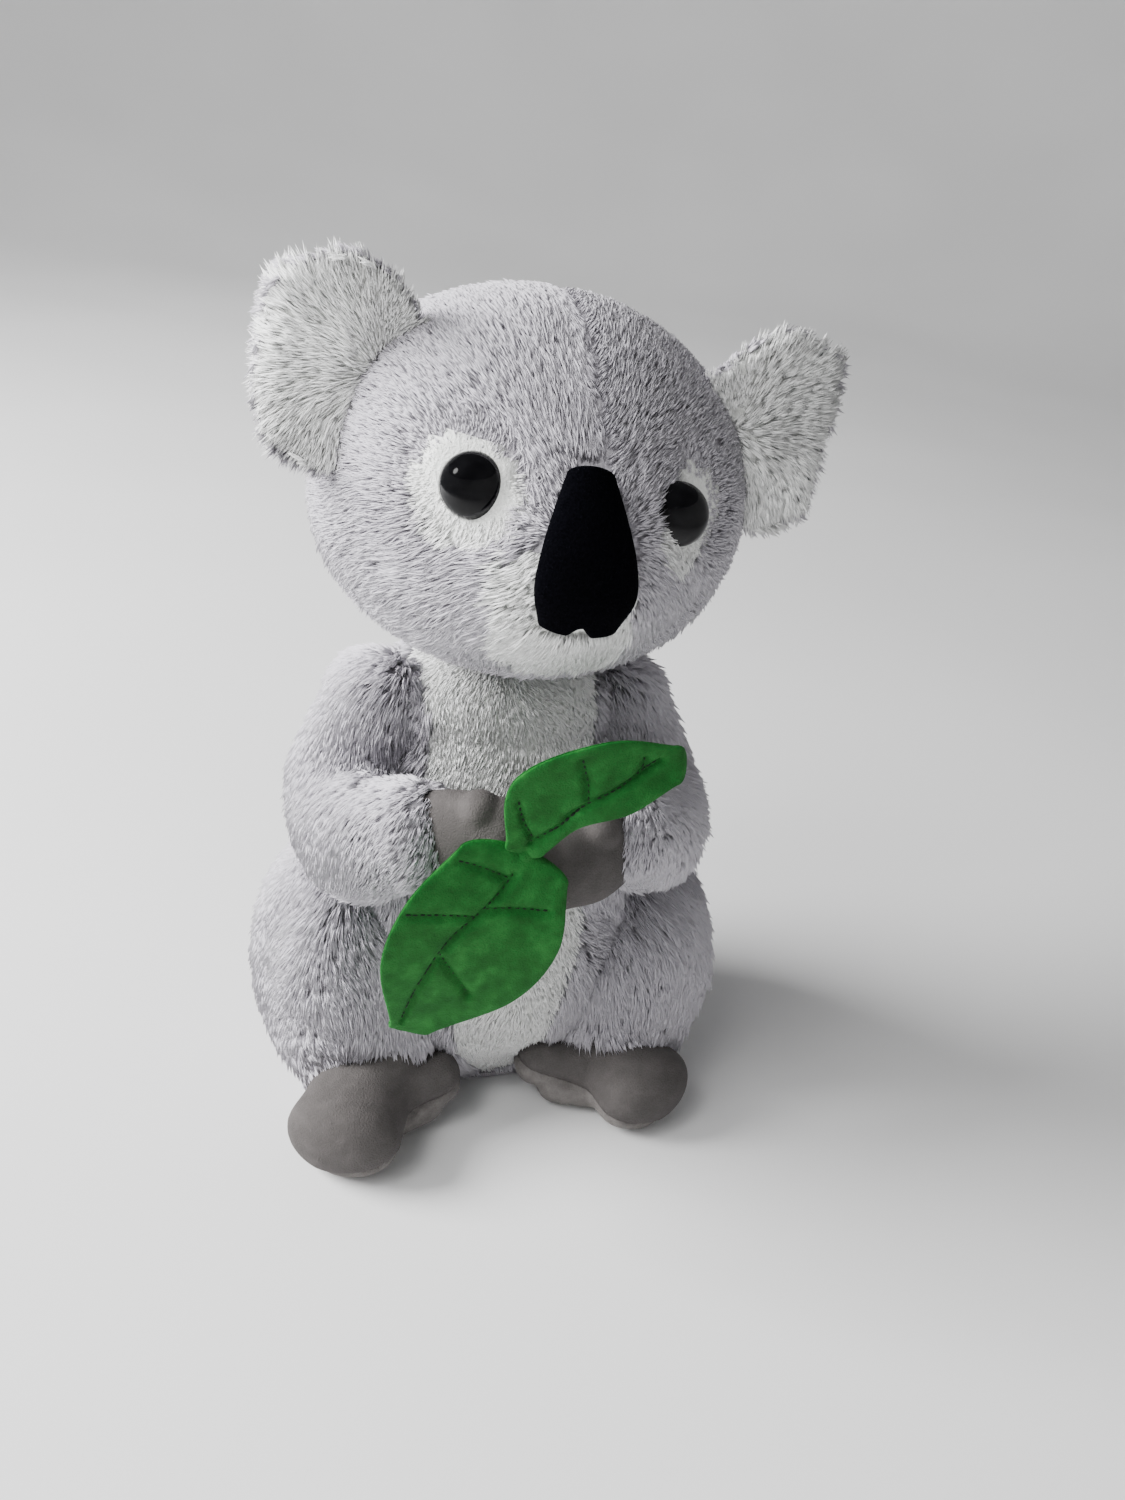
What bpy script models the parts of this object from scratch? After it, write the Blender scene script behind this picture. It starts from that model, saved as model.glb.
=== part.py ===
"""Plush koala that sits on a flat base panel and holds a sprig of two leaves.

Metres, Z up. The toy faces -Y, and +X is its left. The origin is the middle of the
flat seat, on the surface that the toy sits on. Every stuffed form is the middle of
its pile, so the tips of the fur stand a few millimetres proud of the solids.
"""
import math

import bmesh
import bpy
from mathutils import Matrix, Vector

# Fits and cuts
GAP = 0.0003
FUR_SINK = 0.0005
OVERRUN = 0.006
MERGE = 0.00002

# Torso
TORSO_HEIGHT = 0.168
TORSO_HALF_WIDTH = 0.064
TORSO_HALF_DEPTH = 0.056
TORSO_FRONT_LEAN = 0.010
TORSO_SIDE_LEAN = 0.005
TORSO_BASE_DOME = 0.006
TORSO_TOP_DOME = 0.022
TORSO_WIDTH_SHARES = (0.84, 1.0, 1.0, 0.91, 0.80, 0.66)
TORSO_DEPTH_SHARES = (0.86, 1.0, 1.0, 0.92, 0.78, 0.58)

# Seat of the torso, its base panel and the pouch of pellets in it
SEAT_HALF_WIDTH = 0.044
SEAT_HALF_DEPTH = 0.038
SEAT_PANEL_THICKNESS = 0.003
POUCH_HALF_WIDTH = 0.036
POUCH_HALF_DEPTH = 0.030
POUCH_HEIGHT = 0.034

# White strip down the chest and belly
BELLY_PANEL_DEPTH = 0.003
BELLY_PANEL_HALF_WIDTH = 0.027
BELLY_PANEL_LOW = 0.006
BELLY_PANEL_WIDTH_SHARES = (0.62, 0.88, 0.90, 0.96, 1.0)

# Neck, a ball that the head sits on, with the ring of thread round it
NECK_BALL_RADIUS = 0.024
NECK_SINK = 0.008
NECK_FORWARD = 0.004
NECK_SEAM_THICKNESS = 0.0016
NECK_PLAY = 0.0010
NECK_SEAM_LOW_DEG = 38
NECK_SEAM_HIGH_DEG = 56
HEAD_NOD_DEG = 8
HEAD_ROOM = 0.0020

# Head
HEAD_HALF_WIDTH = 0.067
HEAD_HALF_DEPTH = 0.056
HEAD_HALF_HEIGHT = 0.0585
HEAD_LIFT = 0.0035
HEAD_FORWARD = 0.004
HEAD_SIDE = 0.0015
HEAD_TILT_DEG = 4.5
MUZZLE_BULGE = 0.019
MUZZLE_DROP = 0.014
MUZZLE_SPREAD_WIDTH = 0.023
MUZZLE_SPREAD_HEIGHT = 0.021
CHEEK_BULGE = 0.003
CHEEK_SPACING = 0.036
CHEEK_DROP = 0.022
CHEEK_SPREAD = 0.022

# Chin panel, let into the muzzle
CHIN_PANEL_DEPTH = 0.003
CHIN_PANEL_HALF_WIDTH = 0.0220
CHIN_PANEL_HALF_HEIGHT = 0.0210
CHIN_PANEL_DROP = 0.031

# Eyes
EYE_SPACING = 0.030
EYE_RISE = 0.0115
EYE_RADIUS = 0.0090
EYE_DOME = 0.0054
EYE_RIM = 0.0016
EYE_SINK = 0.0022
EYE_STEM_RADIUS = 0.0025
EYE_STEM_LENGTH = 0.014
WASHER_RADIUS = 0.0075
WASHER_THICKNESS = 0.0022
WASHER_DEPTH = 0.008
EYE_PATCH_RADIUS = 0.0135
EYE_PATCH_SPACING = 0.0315
EYE_PATCH_RISE = 0.009
EYE_PATCH_DEPTH = 0.003

# Nose
NOSE_TOP_RISE = 0.019
NOSE_BOTTOM_DROP = 0.017
NOSE_END_DOME = 0.0025
NOSE_HALF_WIDTH = 0.0140
NOSE_HALF_THICKNESS = 0.0050
NOSE_WIDTH_SHARES = (0.78, 1.0, 0.94, 0.74, 0.48)
NOSE_THICKNESS_SHARES = (0.9, 1.0, 1.0, 0.8)
NOSE_NOTCH_RADIUS = 0.0035

# Ears
EAR_ROOT_SPREAD = 0.048
EAR_ROOT_FORWARD = 0.010
EAR_ROOT_RISE = 0.028
EAR_LENGTH = 0.027
EAR_TIP_DOME = 0.011
EAR_ROOT_DOME = 0.006
EAR_HALF_HEIGHT = 0.0290
EAR_THICKNESS = 0.0068
EAR_CUP = 0.008
EAR_HEIGHT_SHARES = (0.62, 0.92, 1.0, 0.86)
EAR_ROUTE_SHARES = ((0.0, 0.0, 0.0), (0.50, 0.10, 0.06), (1.0, 0.02, 0.08))
EAR_FLOP_DEG = 10

# Arms, placed in shares of the torso's half width, half depth and height
ARM_RADIUS = 0.0205
ARM_ROUTE_SHARES = ((0.60, -0.16, 0.86), (0.775, -0.30, 0.705), (0.74, -0.70, 0.655), (0.53, -1.0, 0.715))
ARM_WIDTH_SHARES = (0.90, 1.0, 0.98, 0.84)
ARM_DEPTH_SHARES = (1.0, 1.08, 1.06, 0.92)
ARM_DOME = 0.016
ARM_LIFT_DEG = 12

# Hands, placed as the arms are
HAND_HALF_HEIGHT = 0.0170
HAND_HALF_THICKNESS = 0.0105
HAND_RIGHT_ROUTE_SHARES = ((0.58, -0.93, 0.70), (0.36, -1.13, 0.725), (0.16, -1.24, 0.74))
HAND_LEFT_ROUTE_SHARES = ((0.56, -0.95, 0.69), (0.36, -1.13, 0.685), (0.16, -1.22, 0.68))
HAND_HEIGHT_SHARES = (0.80, 1.0, 0.90)
HAND_DOME = 0.010
THUMB_RADIUS = 0.0078
THUMB_RIGHT_ROUTE_SHARES = ((0.42, -1.10, 0.75), (0.33, -1.22, 0.81))
THUMB_LEFT_ROUTE_SHARES = ((0.42, -1.10, 0.71), (0.33, -1.22, 0.76))
THUMB_DOME = 0.006

# Legs, placed in shares of the torso's half width and half depth, and resting on the floor
LEG_HALF_WIDTH = 0.029
LEG_HALF_HEIGHT = 0.045
LEG_ROUTE_SHARES = ((0.76, 0.36), (0.86, -0.11), (0.83, -0.48), (0.69, -0.72))
LEG_WIDTH_SHARES = (0.84, 1.0, 1.0, 0.92)
LEG_HEIGHT_SHARES = (0.84, 1.0, 0.88, 0.50)
LEG_DOME = 0.014
LEG_SPLAY_DEG = 12
HIP_SHARES = (0.70, 0.62)

# Feet, placed as the legs are
FOOT_HALF_WIDTH = 0.0195
FOOT_HALF_HEIGHT = 0.0150
FOOT_RIGHT_ROUTE_SHARES = ((0.70, -0.82), (0.79, -1.07), (0.89, -1.31))
FOOT_LEFT_ROUTE_SHARES = ((0.66, -0.74), (0.72, -0.94), (0.80, -1.14))
FOOT_WIDTH_SHARES = (1.05, 0.92, 1.0)
FOOT_HEIGHT_SHARES = (1.30, 1.08, 1.0)
FOOT_DOME = 0.013
TOE_RADIUS = 0.0100
TOE_RIGHT_ROUTE_SHARES = ((0.68, -1.04), (0.38, -0.97))
TOE_LEFT_ROUTE_SHARES = ((0.63, -0.95), (0.30, -0.86))
TOE_RISE_SHARE = 1.15
TOE_DOME = 0.008
SOLE_RISE = 0.0080
SOLE_TILT_DEG = 16

# Sprig: the knot between the hands, and the leaves in shares of their lengths from it
KNOT_RADIUS = 0.0035
KNOT_FORWARD = 0.0050
KNOT_SIDE = 0.0075
KNOT_RISE = 0.0060
KNOT_STEM_RADIUS = 0.0022
LEAF_LAYER_THICKNESS = 0.0030
LEAF_BASE_DOME = 0.0030
LEAF_TIP_DOME = 0.0060
LEAF_CUP = 0.003
LEAF_LARGE_LENGTH = 0.070
LEAF_LARGE_HALF_WIDTH = 0.0250
LEAF_LARGE_ROUTE_SHARES = (
    (0.0, -0.01, -0.07), (-0.12, -0.05, -0.34), (-0.26, -0.03, -0.62), (-0.41, 0.04, -0.88),
)
LEAF_LARGE_WIDTH_SHARES = (0.64, 1.04, 0.94, 0.22)
LEAF_SMALL_LENGTH = 0.056
LEAF_SMALL_HALF_WIDTH = 0.0138
LEAF_SMALL_ROUTE_SHARES = (
    (0.0, -0.01, 0.09), (0.08, -0.06, 0.36), (0.40, -0.10, 0.49), (0.715, -0.04, 0.52),
)
LEAF_SMALL_WIDTH_SHARES = (0.45, 0.96, 0.97, 0.44)

# Mesh density: faces round a form and along it
TORSO_FACES = (22, 16)
HEAD_FACES = (26, 20)
LIMB_FACES = (16, 12)
SMALL_FACES = (12, 9)
LEAF_FACES = (12, 10)
TURNED_STEPS = 16
CYLINDER_FACES = 32
ARC_STEPS = 6
OFF_PLANE_DEG = 7
SWEEP_STEPS = 3
DOME_SHARE = 0.24
NUDGE_SHARE = 0.001
EVEN_SHARES = (1.0, 1.0)

UP = Vector((0, 0, 1))
SIDES = (("right", -1), ("left", 1))
HAND_ROUTES = {-1: HAND_RIGHT_ROUTE_SHARES, 1: HAND_LEFT_ROUTE_SHARES}
THUMB_ROUTES = {-1: THUMB_RIGHT_ROUTE_SHARES, 1: THUMB_LEFT_ROUTE_SHARES}
FOOT_ROUTES = {-1: FOOT_RIGHT_ROUTE_SHARES, 1: FOOT_LEFT_ROUTE_SHARES}
TOE_ROUTES = {-1: TOE_RIGHT_ROUTE_SHARES, 1: TOE_LEFT_ROUTE_SHARES}

for old in list(bpy.data.objects):
    bpy.data.objects.remove(old, do_unlink=True)
toy = bpy.data.collections.new("plush_koala")
cutters = bpy.data.collections.new("cutters")
bpy.context.scene.collection.children.link(toy)
bpy.context.scene.collection.children.link(cutters)


def material(name, colour, roughness, metallic=0.0):
    made = bpy.data.materials.new(name)
    made.use_nodes = True
    shader = made.node_tree.nodes["Principled BSDF"]
    shader.inputs["Base Color"].default_value = (*colour, 1.0)
    shader.inputs["Roughness"].default_value = roughness
    shader.inputs["Metallic"].default_value = metallic
    made.diffuse_color = (*colour, 1.0)
    return made


GREY_PLUSH = material("grey_plush", (0.50, 0.48, 0.52), 0.95)
WHITE_PLUSH = material("white_plush", (0.86, 0.87, 0.85), 0.95)
GREY_MINKY = material("grey_minky", (0.20, 0.18, 0.18), 0.85)
SOLE_MINKY = material("sole_minky", (0.27, 0.25, 0.24), 0.85)
GREEN_MINKY = material("green_minky", (0.03, 0.22, 0.04), 0.85)
BLACK_VELVET = material("black_velvet", (0.006, 0.006, 0.008), 0.9)
EYE_PLASTIC = material("eye_plastic", (0.004, 0.004, 0.004), 0.08)
WASHER_PLASTIC = material("washer_plastic", (0.7, 0.7, 0.7), 0.4)
BASE_CLOTH = material("base_cloth", (0.42, 0.40, 0.43), 0.9)
POUCH_CLOTH = material("pouch_cloth", (0.75, 0.73, 0.68), 0.9)
SEAM_THREAD = material("seam_thread", (0.45, 0.43, 0.47), 0.7)


def place(mesh, name, collection, finish=None, carrier=None):
    """Object of a mesh in world coordinates, carried by the empty on its joint's axis."""
    made = bpy.data.objects.new(name, mesh)
    collection.objects.link(made)
    if finish is not None:
        mesh.materials.append(finish)
        mesh.shade_smooth()
    if carrier is not None:
        made.parent = carrier
        made.location = -carrier.matrix_basis.translation
    if collection is cutters:
        made.hide_render = True
        made.display_type = "WIRE"
    return made


def pivot(name, point):
    """Empty on the axis of a joint."""
    made = bpy.data.objects.new(name, None)
    made.location = point
    made.empty_display_size = NECK_BALL_RADIUS
    cutters.objects.link(made)
    return made


def closed(bm, name):
    """Mesh of a closed form, its faces pointing out and its bent quads split one way only."""
    bmesh.ops.triangulate(bm, faces=[face for face in bm.faces if len(face.verts) == 4])
    bmesh.ops.recalc_face_normals(bm, faces=bm.faces)
    if bm.calc_volume(signed=True) < 0:
        bmesh.ops.reverse_faces(bm, faces=bm.faces)
    mesh = bpy.data.meshes.new(name)
    bm.to_mesh(mesh)
    bm.free()
    return mesh


def along(values, share):
    """Value at a share of an evenly spaced table, on a smooth curve through its entries."""
    last = len(values) - 1
    spot = min(max(share, 0.0), 1.0) * last
    index = min(int(spot), last - 1)
    u = spot - index
    here, after = values[index], values[index + 1]
    before = values[index - 1] if index > 0 else here * 2 - after
    beyond = values[index + 2] if index + 2 <= last else after * 2 - here
    slope = (after - before) / 2
    bend = before - here * 2.5 + after * 2 - beyond / 2
    twist = (here * 3 - before - after * 3 + beyond) / 2
    return here + slope * u + bend * u ** 2 + twist * u ** 3


def scaled(shares, size):
    return [share * size for share in shares]


def lean(height):
    """How far the torso's middle has leaned to its right at a height."""
    return -TORSO_SIDE_LEAN * height / TORSO_HEIGHT


def beside_torso(route_shares, side):
    """Points beside the torso, from shares of its half width, half depth and height."""
    points = []
    for across, back, rise in route_shares:
        height = rise * TORSO_HEIGHT
        across_m = side * across * TORSO_HALF_WIDTH + lean(height)
        points.append(Vector((across_m, back * TORSO_HALF_DEPTH, height)))
    return points


def on_floor(route_shares, heights, side):
    """Points at the middle of a form that lies on the floor, which the form sinks into a little."""
    last = len(route_shares) - 1
    points = []
    for index, (across, back) in enumerate(route_shares):
        height = along(heights, index / last) - FUR_SINK
        points.append(Vector((side * across * TORSO_HALF_WIDTH, back * TORSO_HALF_DEPTH, height)))
    return points


def swollen(name, route, half_widths, half_depths, across, domes, faces, layer=0, cup=0.0):
    """Stuffed form round a curved centre line, with a domed end at each end of it.

    Its sections turn evenly from the line's first direction to its last, and their widths
    are measured along `across`. Layer 1 or -1 keeps only the half of the form on that side
    of its middle surface, and cup bends that surface up at both edges.
    """
    first = (along(route, NUDGE_SHARE) - route[0]).normalized()
    final = (route[-1] - along(route, 1 - NUDGE_SHARE)).normalized()
    bm = bmesh.new()
    bmesh.ops.create_uvsphere(bm, u_segments=faces[0], v_segments=faces[1], radius=1)
    for vert in bm.verts:
        ring = 1 - math.acos(max(-1.0, min(1.0, vert.co.z))) / math.pi
        reach = math.hypot(vert.co.x, vert.co.y)
        turn = vert.co.xy / reach if reach > NUDGE_SHARE else Vector((0, 0))
        if ring < DOME_SHARE:
            share, angle, sign, dome = 0.0, ring / DOME_SHARE * math.pi / 2, -1, domes[0]
        elif ring > 1 - DOME_SHARE:
            share, angle, sign, dome = 1.0, (1 - ring) / DOME_SHARE * math.pi / 2, 1, domes[1]
        else:
            share = (ring - DOME_SHARE) / (1 - 2 * DOME_SHARE)
            angle, sign, dome = math.pi / 2, 0, 0.0
        ahead = first.lerp(final, share).normalized()
        wide = (across - ahead * across.dot(ahead)).normalized()
        deep = ahead.cross(wide)
        swell = math.sin(angle)
        depth = turn.y * swell * along(half_depths, share)
        if layer:
            depth = layer * (max(depth * layer, 0.0) + GAP / 2)
        depth += cup * (turn.x * swell) ** 2
        centre = along(route, share) + ahead * sign * dome * math.cos(angle)
        vert.co = centre + wide * turn.x * swell * along(half_widths, share) + deep * depth
    return closed(bm, name)


def turned(name, profile, ring=False):
    """Solid of revolution about local Z, from a profile of radius and height, top to bottom."""
    mesh = bpy.data.meshes.new(name + "_profile")
    count = len(profile)
    edges = [(index, (index + 1) % count) for index in range(count if ring else count - 1)]
    mesh.from_pydata([(radius, 0, height) for radius, height in profile], edges, [])
    holder = bpy.data.objects.new(name + "_profile", mesh)
    bpy.context.scene.collection.objects.link(holder)
    screw = holder.modifiers.new("turn", "SCREW")
    screw.steps = TURNED_STEPS
    screw.render_steps = TURNED_STEPS
    screw.use_merge_vertices = True
    screw.merge_threshold = MERGE
    evaluated = holder.evaluated_get(bpy.context.evaluated_depsgraph_get())
    made = bpy.data.meshes.new_from_object(evaluated)
    bpy.data.objects.remove(holder, do_unlink=True)
    bm = bmesh.new()
    bm.from_mesh(made)
    bmesh.ops.remove_doubles(bm, verts=bm.verts, dist=MERGE)
    return closed(bm, name)


def cylinder(name, half_width, half_depth, low, high, faces=CYLINDER_FACES):
    """Upright oval cylinder between two heights."""
    bm = bmesh.new()
    bmesh.ops.create_cone(bm, cap_ends=True, segments=faces, radius1=1, radius2=1, depth=1)
    bmesh.ops.scale(bm, vec=(half_width, half_depth, high - low), verts=bm.verts)
    bmesh.ops.translate(bm, vec=(0, 0, (high + low) / 2), verts=bm.verts)
    return closed(bm, name)


def oval_ball(name, half_sizes, centre, faces):
    bm = bmesh.new()
    bmesh.ops.create_uvsphere(bm, u_segments=faces[0], v_segments=faces[1], radius=1)
    bmesh.ops.scale(bm, vec=half_sizes, verts=bm.verts)
    bmesh.ops.translate(bm, vec=centre, verts=bm.verts)
    return closed(bm, name)


def off_plane(point):
    """Frame at a point, turned so that a round form's seams miss the planes of what it meets."""
    return Matrix.Translation(point) @ Matrix.Rotation(math.radians(OFF_PLANE_DEG), 4, "Z")


def ball(name, radius, centre, faces):
    return moved(oval_ball(name, (radius, radius, radius), (0, 0, 0), faces), off_plane(centre))


def moved(mesh, frame):
    mesh.transform(frame)
    return mesh


def boolean(piece, other, operation="DIFFERENCE"):
    made = piece.modifiers.new(other.name, "BOOLEAN")
    made.operation = operation
    made.object = other
    return piece


def cutter(mesh, name, grow=0.0, turn=None):
    """Cutter with a form's shape, swollen by a clearance and turned about a joint."""
    made = place(mesh, name, cutters)
    if grow:
        swell = made.modifiers.new("swell", "DISPLACE")
        swell.mid_level = 0
        swell.strength = grow
    if turn is not None:
        made.matrix_world = turn
    return made


def turn_about(point, axis, degrees):
    there = Matrix.Translation(point)
    return there @ Matrix.Rotation(math.radians(degrees), 4, axis) @ there.inverted()


def swept(mesh, name, turns):
    """Cutters for the places that a form takes, each swollen by the clearance."""
    return [cutter(mesh, f"{name}_{index}", GAP, turn) for index, turn in enumerate(turns)]


def cut(piece, rooms):
    for room in rooms:
        boolean(piece, room)


def steps_of(low, high, count):
    return [low + (high - low) * index / (count - 1) for index in range(count)]


def inlay(form, region, depth, name, finish, carrier):
    """A panel let into a form, and the cutter of its seat. The region says where it lies."""
    panel = place(form.copy(), name, toy, finish, carrier)
    boolean(panel, cutter(region, name + "_region"), "INTERSECT")
    boolean(panel, cutter(form, name + "_core", -depth))
    seat = cutter(region, name + "_seat", GAP)
    boolean(seat, cutter(form, name + "_seat_core", -depth - GAP))
    return panel, seat


# Forms of the torso, the neck and the head

def torso_form():
    rises = steps_of(TORSO_BASE_DOME - FUR_SINK, TORSO_HEIGHT - TORSO_TOP_DOME, len(TORSO_WIDTH_SHARES))
    route = [Vector((lean(rise), -TORSO_FRONT_LEAN * (rise / TORSO_HEIGHT) ** 2, rise)) for rise in rises]
    return swollen("torso_form", route, scaled(TORSO_WIDTH_SHARES, TORSO_HALF_WIDTH),
                   scaled(TORSO_DEPTH_SHARES, TORSO_HALF_DEPTH), Vector((1, 0, 0)),
                   (TORSO_BASE_DOME, TORSO_TOP_DOME), TORSO_FACES)


NECK = Vector((-TORSO_SIDE_LEAN, -TORSO_FRONT_LEAN - NECK_FORWARD, TORSO_HEIGHT - NECK_SINK))
HEAD = NECK + Vector((HEAD_SIDE, -HEAD_FORWARD, HEAD_HALF_HEIGHT + HEAD_LIFT))
HEAD_FRAME = Matrix.Translation(HEAD) @ Matrix.Rotation(math.radians(HEAD_TILT_DEG), 4, "Y")


def face_bulge(x, z):
    """How far the muzzle and the cheeks stand forward of the head's oval."""
    x += HEAD_SIDE
    muzzle = (x / MUZZLE_SPREAD_WIDTH) ** 2 + ((z + MUZZLE_DROP) / MUZZLE_SPREAD_HEIGHT) ** 2
    cheek = ((abs(x) - CHEEK_SPACING) / CHEEK_SPREAD) ** 2 + ((z + CHEEK_DROP) / CHEEK_SPREAD) ** 2
    return MUZZLE_BULGE * math.exp(-muzzle / 2) + CHEEK_BULGE * math.exp(-cheek / 2)


def on_face(x, z):
    """Point of the face over a place of its front plane, measured from the face's middle."""
    x -= HEAD_SIDE
    inside = 1 - (x / HEAD_HALF_WIDTH) ** 2 - (z / HEAD_HALF_HEIGHT) ** 2
    return Vector((x, -HEAD_HALF_DEPTH * math.sqrt(max(inside, 0.0)) - face_bulge(x, z), z))


def face_frame(x, z, sink=0.0):
    """Frame on the face whose Z points straight out of it."""
    step = HEAD_HALF_WIDTH * NUDGE_SHARE
    sideways = on_face(x + step, z) - on_face(x - step, z)
    out = sideways.cross(on_face(x, z + step) - on_face(x, z - step))
    turn = out.to_track_quat("Z", "Y").to_matrix().to_4x4()
    return HEAD_FRAME @ Matrix.Translation(on_face(x, z) - out.normalized() * sink) @ turn


def head_form():
    bm = bmesh.new()
    bmesh.ops.create_uvsphere(bm, u_segments=HEAD_FACES[0], v_segments=HEAD_FACES[1], radius=1)
    bmesh.ops.scale(bm, vec=(HEAD_HALF_WIDTH, HEAD_HALF_DEPTH, HEAD_HALF_HEIGHT), verts=bm.verts)
    for vert in bm.verts:
        if vert.co.y < 0:
            ease = math.sqrt(min(1.0, -vert.co.y / HEAD_HALF_DEPTH))
            vert.co.y -= face_bulge(vert.co.x, vert.co.z) * ease
    return moved(closed(bm, "head_form"), HEAD_FRAME)


# Joints' empties

neck_pivot = pivot("neck_pivot", NECK)
shoulder_pivot = pivot("shoulder_pivot", sum(
    (beside_torso(ARM_ROUTE_SHARES, side)[0] for _, side in SIDES), Vector((0, 0, 0))) / 2)
HIPS = {name: Vector((side * HIP_SHARES[0] * TORSO_HALF_WIDTH, HIP_SHARES[1] * TORSO_HALF_DEPTH, 0))
        for name, side in SIDES}

torso_mesh = torso_form()
head_mesh = head_form()


# Torso, its white strip, its base panel and the pouch in it

floor = cutter(cylinder("floor", TORSO_HEIGHT, TORSO_HEIGHT, -OVERRUN, 0.0), "floor")
base_room = cutter(cylinder("base_room", SEAT_HALF_WIDTH + OVERRUN, SEAT_HALF_DEPTH + OVERRUN,
                            -OVERRUN, TORSO_BASE_DOME), "base_room")
neck_ball_mesh = ball("neck_ball", NECK_BALL_RADIUS, NECK, LIMB_FACES)
neck_ball = cutter(neck_ball_mesh, "neck_ball")
head_room = [cutter(head_mesh, f"head_room_{index}", HEAD_ROOM, turn_about(NECK, "X", -nod))
             for index, nod in enumerate((0, HEAD_NOD_DEG))]


def build_torso():
    low, high = SEAT_HALF_DEPTH, TORSO_HEIGHT - TORSO_TOP_DOME / 2
    rises = steps_of(low, high, len(BELLY_PANEL_WIDTH_SHARES))
    front = [Vector((lean(rise), -TORSO_HALF_DEPTH, rise)) for rise in rises]
    region = swollen("belly_region", front, scaled(BELLY_PANEL_WIDTH_SHARES, BELLY_PANEL_HALF_WIDTH),
                     scaled(EVEN_SHARES, TORSO_HALF_DEPTH), Vector((1, 0, 0)),
                     (low - BELLY_PANEL_LOW, TORSO_TOP_DOME / 2), LIMB_FACES)
    panel, seat = inlay(torso_mesh, region, BELLY_PANEL_DEPTH, "belly_panel", WHITE_PLUSH, None)
    torso = place(torso_mesh.copy(), "torso", toy, GREY_PLUSH)
    cut(torso, head_room)
    cut(panel, head_room)
    boolean(panel, cutter(neck_ball_mesh, "neck_ball_clear", GAP))
    boolean(panel, floor)
    boolean(torso, seat)
    boolean(torso, neck_ball, "UNION")
    boolean(torso, floor)
    panel_top = SEAT_PANEL_THICKNESS
    boolean(torso, cutter(cylinder("base_opening", SEAT_HALF_WIDTH + GAP, SEAT_HALF_DEPTH + GAP,
                                   -OVERRUN, panel_top + GAP), "base_opening"))
    pouch_mesh = oval_ball("pellet_pouch", (POUCH_HALF_WIDTH, POUCH_HALF_DEPTH, POUCH_HEIGHT),
                           (0, 0, panel_top + GAP), SMALL_FACES)
    boolean(torso, cutter(pouch_mesh, "pouch_pocket", GAP))
    pouch = place(pouch_mesh.copy(), "pellet_pouch", toy, POUCH_CLOTH)
    boolean(pouch, cutter(cylinder("pouch_base", SEAT_HALF_WIDTH, SEAT_HALF_DEPTH,
                                   -POUCH_HEIGHT - OVERRUN, panel_top + GAP), "pouch_base"))
    base = cylinder("seat_panel", SEAT_HALF_WIDTH, SEAT_HALF_DEPTH, 0.0, panel_top)
    place(base, "seat_panel", toy, BASE_CLOTH)


def build_neck_seam():
    inner = NECK_BALL_RADIUS + GAP
    outer = inner + NECK_SEAM_THICKNESS
    arc = [math.radians(angle) for angle in steps_of(NECK_SEAM_HIGH_DEG, NECK_SEAM_LOW_DEG, ARC_STEPS)]
    profile = [(outer * math.cos(angle), outer * math.sin(angle)) for angle in arc]
    profile += [(inner * math.cos(angle), inner * math.sin(angle)) for angle in reversed(arc)]
    ring = turned("neck_seam", profile, ring=True)
    place(moved(ring, off_plane(NECK)), "neck_seam", toy, SEAM_THREAD, neck_pivot)
    return outer + NECK_PLAY


# Head and what is let into it

def eye_pocket(frame, name):
    """Seat of an eye, with the hole for its stem and the hollow for its lock washer."""
    wide, stem, lock = EYE_RADIUS + GAP, EYE_STEM_RADIUS + GAP, WASHER_RADIUS + GAP
    profile = [
        (0, EYE_DOME + OVERRUN), (wide, EYE_DOME + OVERRUN), (wide, -EYE_RIM - GAP),
        (stem, -EYE_RIM - GAP), (stem, -WASHER_DEPTH + GAP),
        (lock, -WASHER_DEPTH + GAP), (lock, -WASHER_DEPTH - WASHER_THICKNESS - GAP),
        (stem, -WASHER_DEPTH - WASHER_THICKNESS - GAP),
        (stem, -EYE_STEM_LENGTH - GAP), (0, -EYE_STEM_LENGTH - GAP),
    ]
    return cutter(moved(turned(name, profile), frame), name)


def build_eye(side_name, frame):
    arc = steps_of(math.pi / 2, 0.0, ARC_STEPS)
    profile = [(EYE_RADIUS * math.cos(angle), EYE_DOME * math.sin(angle)) for angle in arc]
    profile[0] = (0, EYE_DOME)
    profile += [(EYE_RADIUS, -EYE_RIM), (EYE_STEM_RADIUS, -EYE_RIM),
                (EYE_STEM_RADIUS, -EYE_STEM_LENGTH), (0, -EYE_STEM_LENGTH)]
    eye = moved(turned("eye", profile), frame)
    place(eye, "eye_" + side_name, toy, EYE_PLASTIC, neck_pivot)
    inner = EYE_STEM_RADIUS + GAP
    top, low = -WASHER_DEPTH, -WASHER_DEPTH - WASHER_THICKNESS
    profile = [(inner, top), (WASHER_RADIUS, top), (WASHER_RADIUS, low), (inner, low)]
    ring = turned("washer", profile, ring=True)
    place(moved(ring, frame), "eye_washer_" + side_name, toy, WASHER_PLASTIC, neck_pivot)


def nose_form():
    rises = steps_of(-NOSE_BOTTOM_DROP, NOSE_TOP_RISE, len(NOSE_WIDTH_SHARES))
    route = [HEAD_FRAME @ on_face(0.0, rise) for rise in rises]
    across = HEAD_FRAME.to_3x3() @ Vector((1, 0, 0))
    return swollen("nose", route, scaled(NOSE_WIDTH_SHARES, NOSE_HALF_WIDTH),
                   scaled(NOSE_THICKNESS_SHARES, NOSE_HALF_THICKNESS), across,
                   (NOSE_END_DOME, NOSE_END_DOME), LIMB_FACES)


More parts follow.
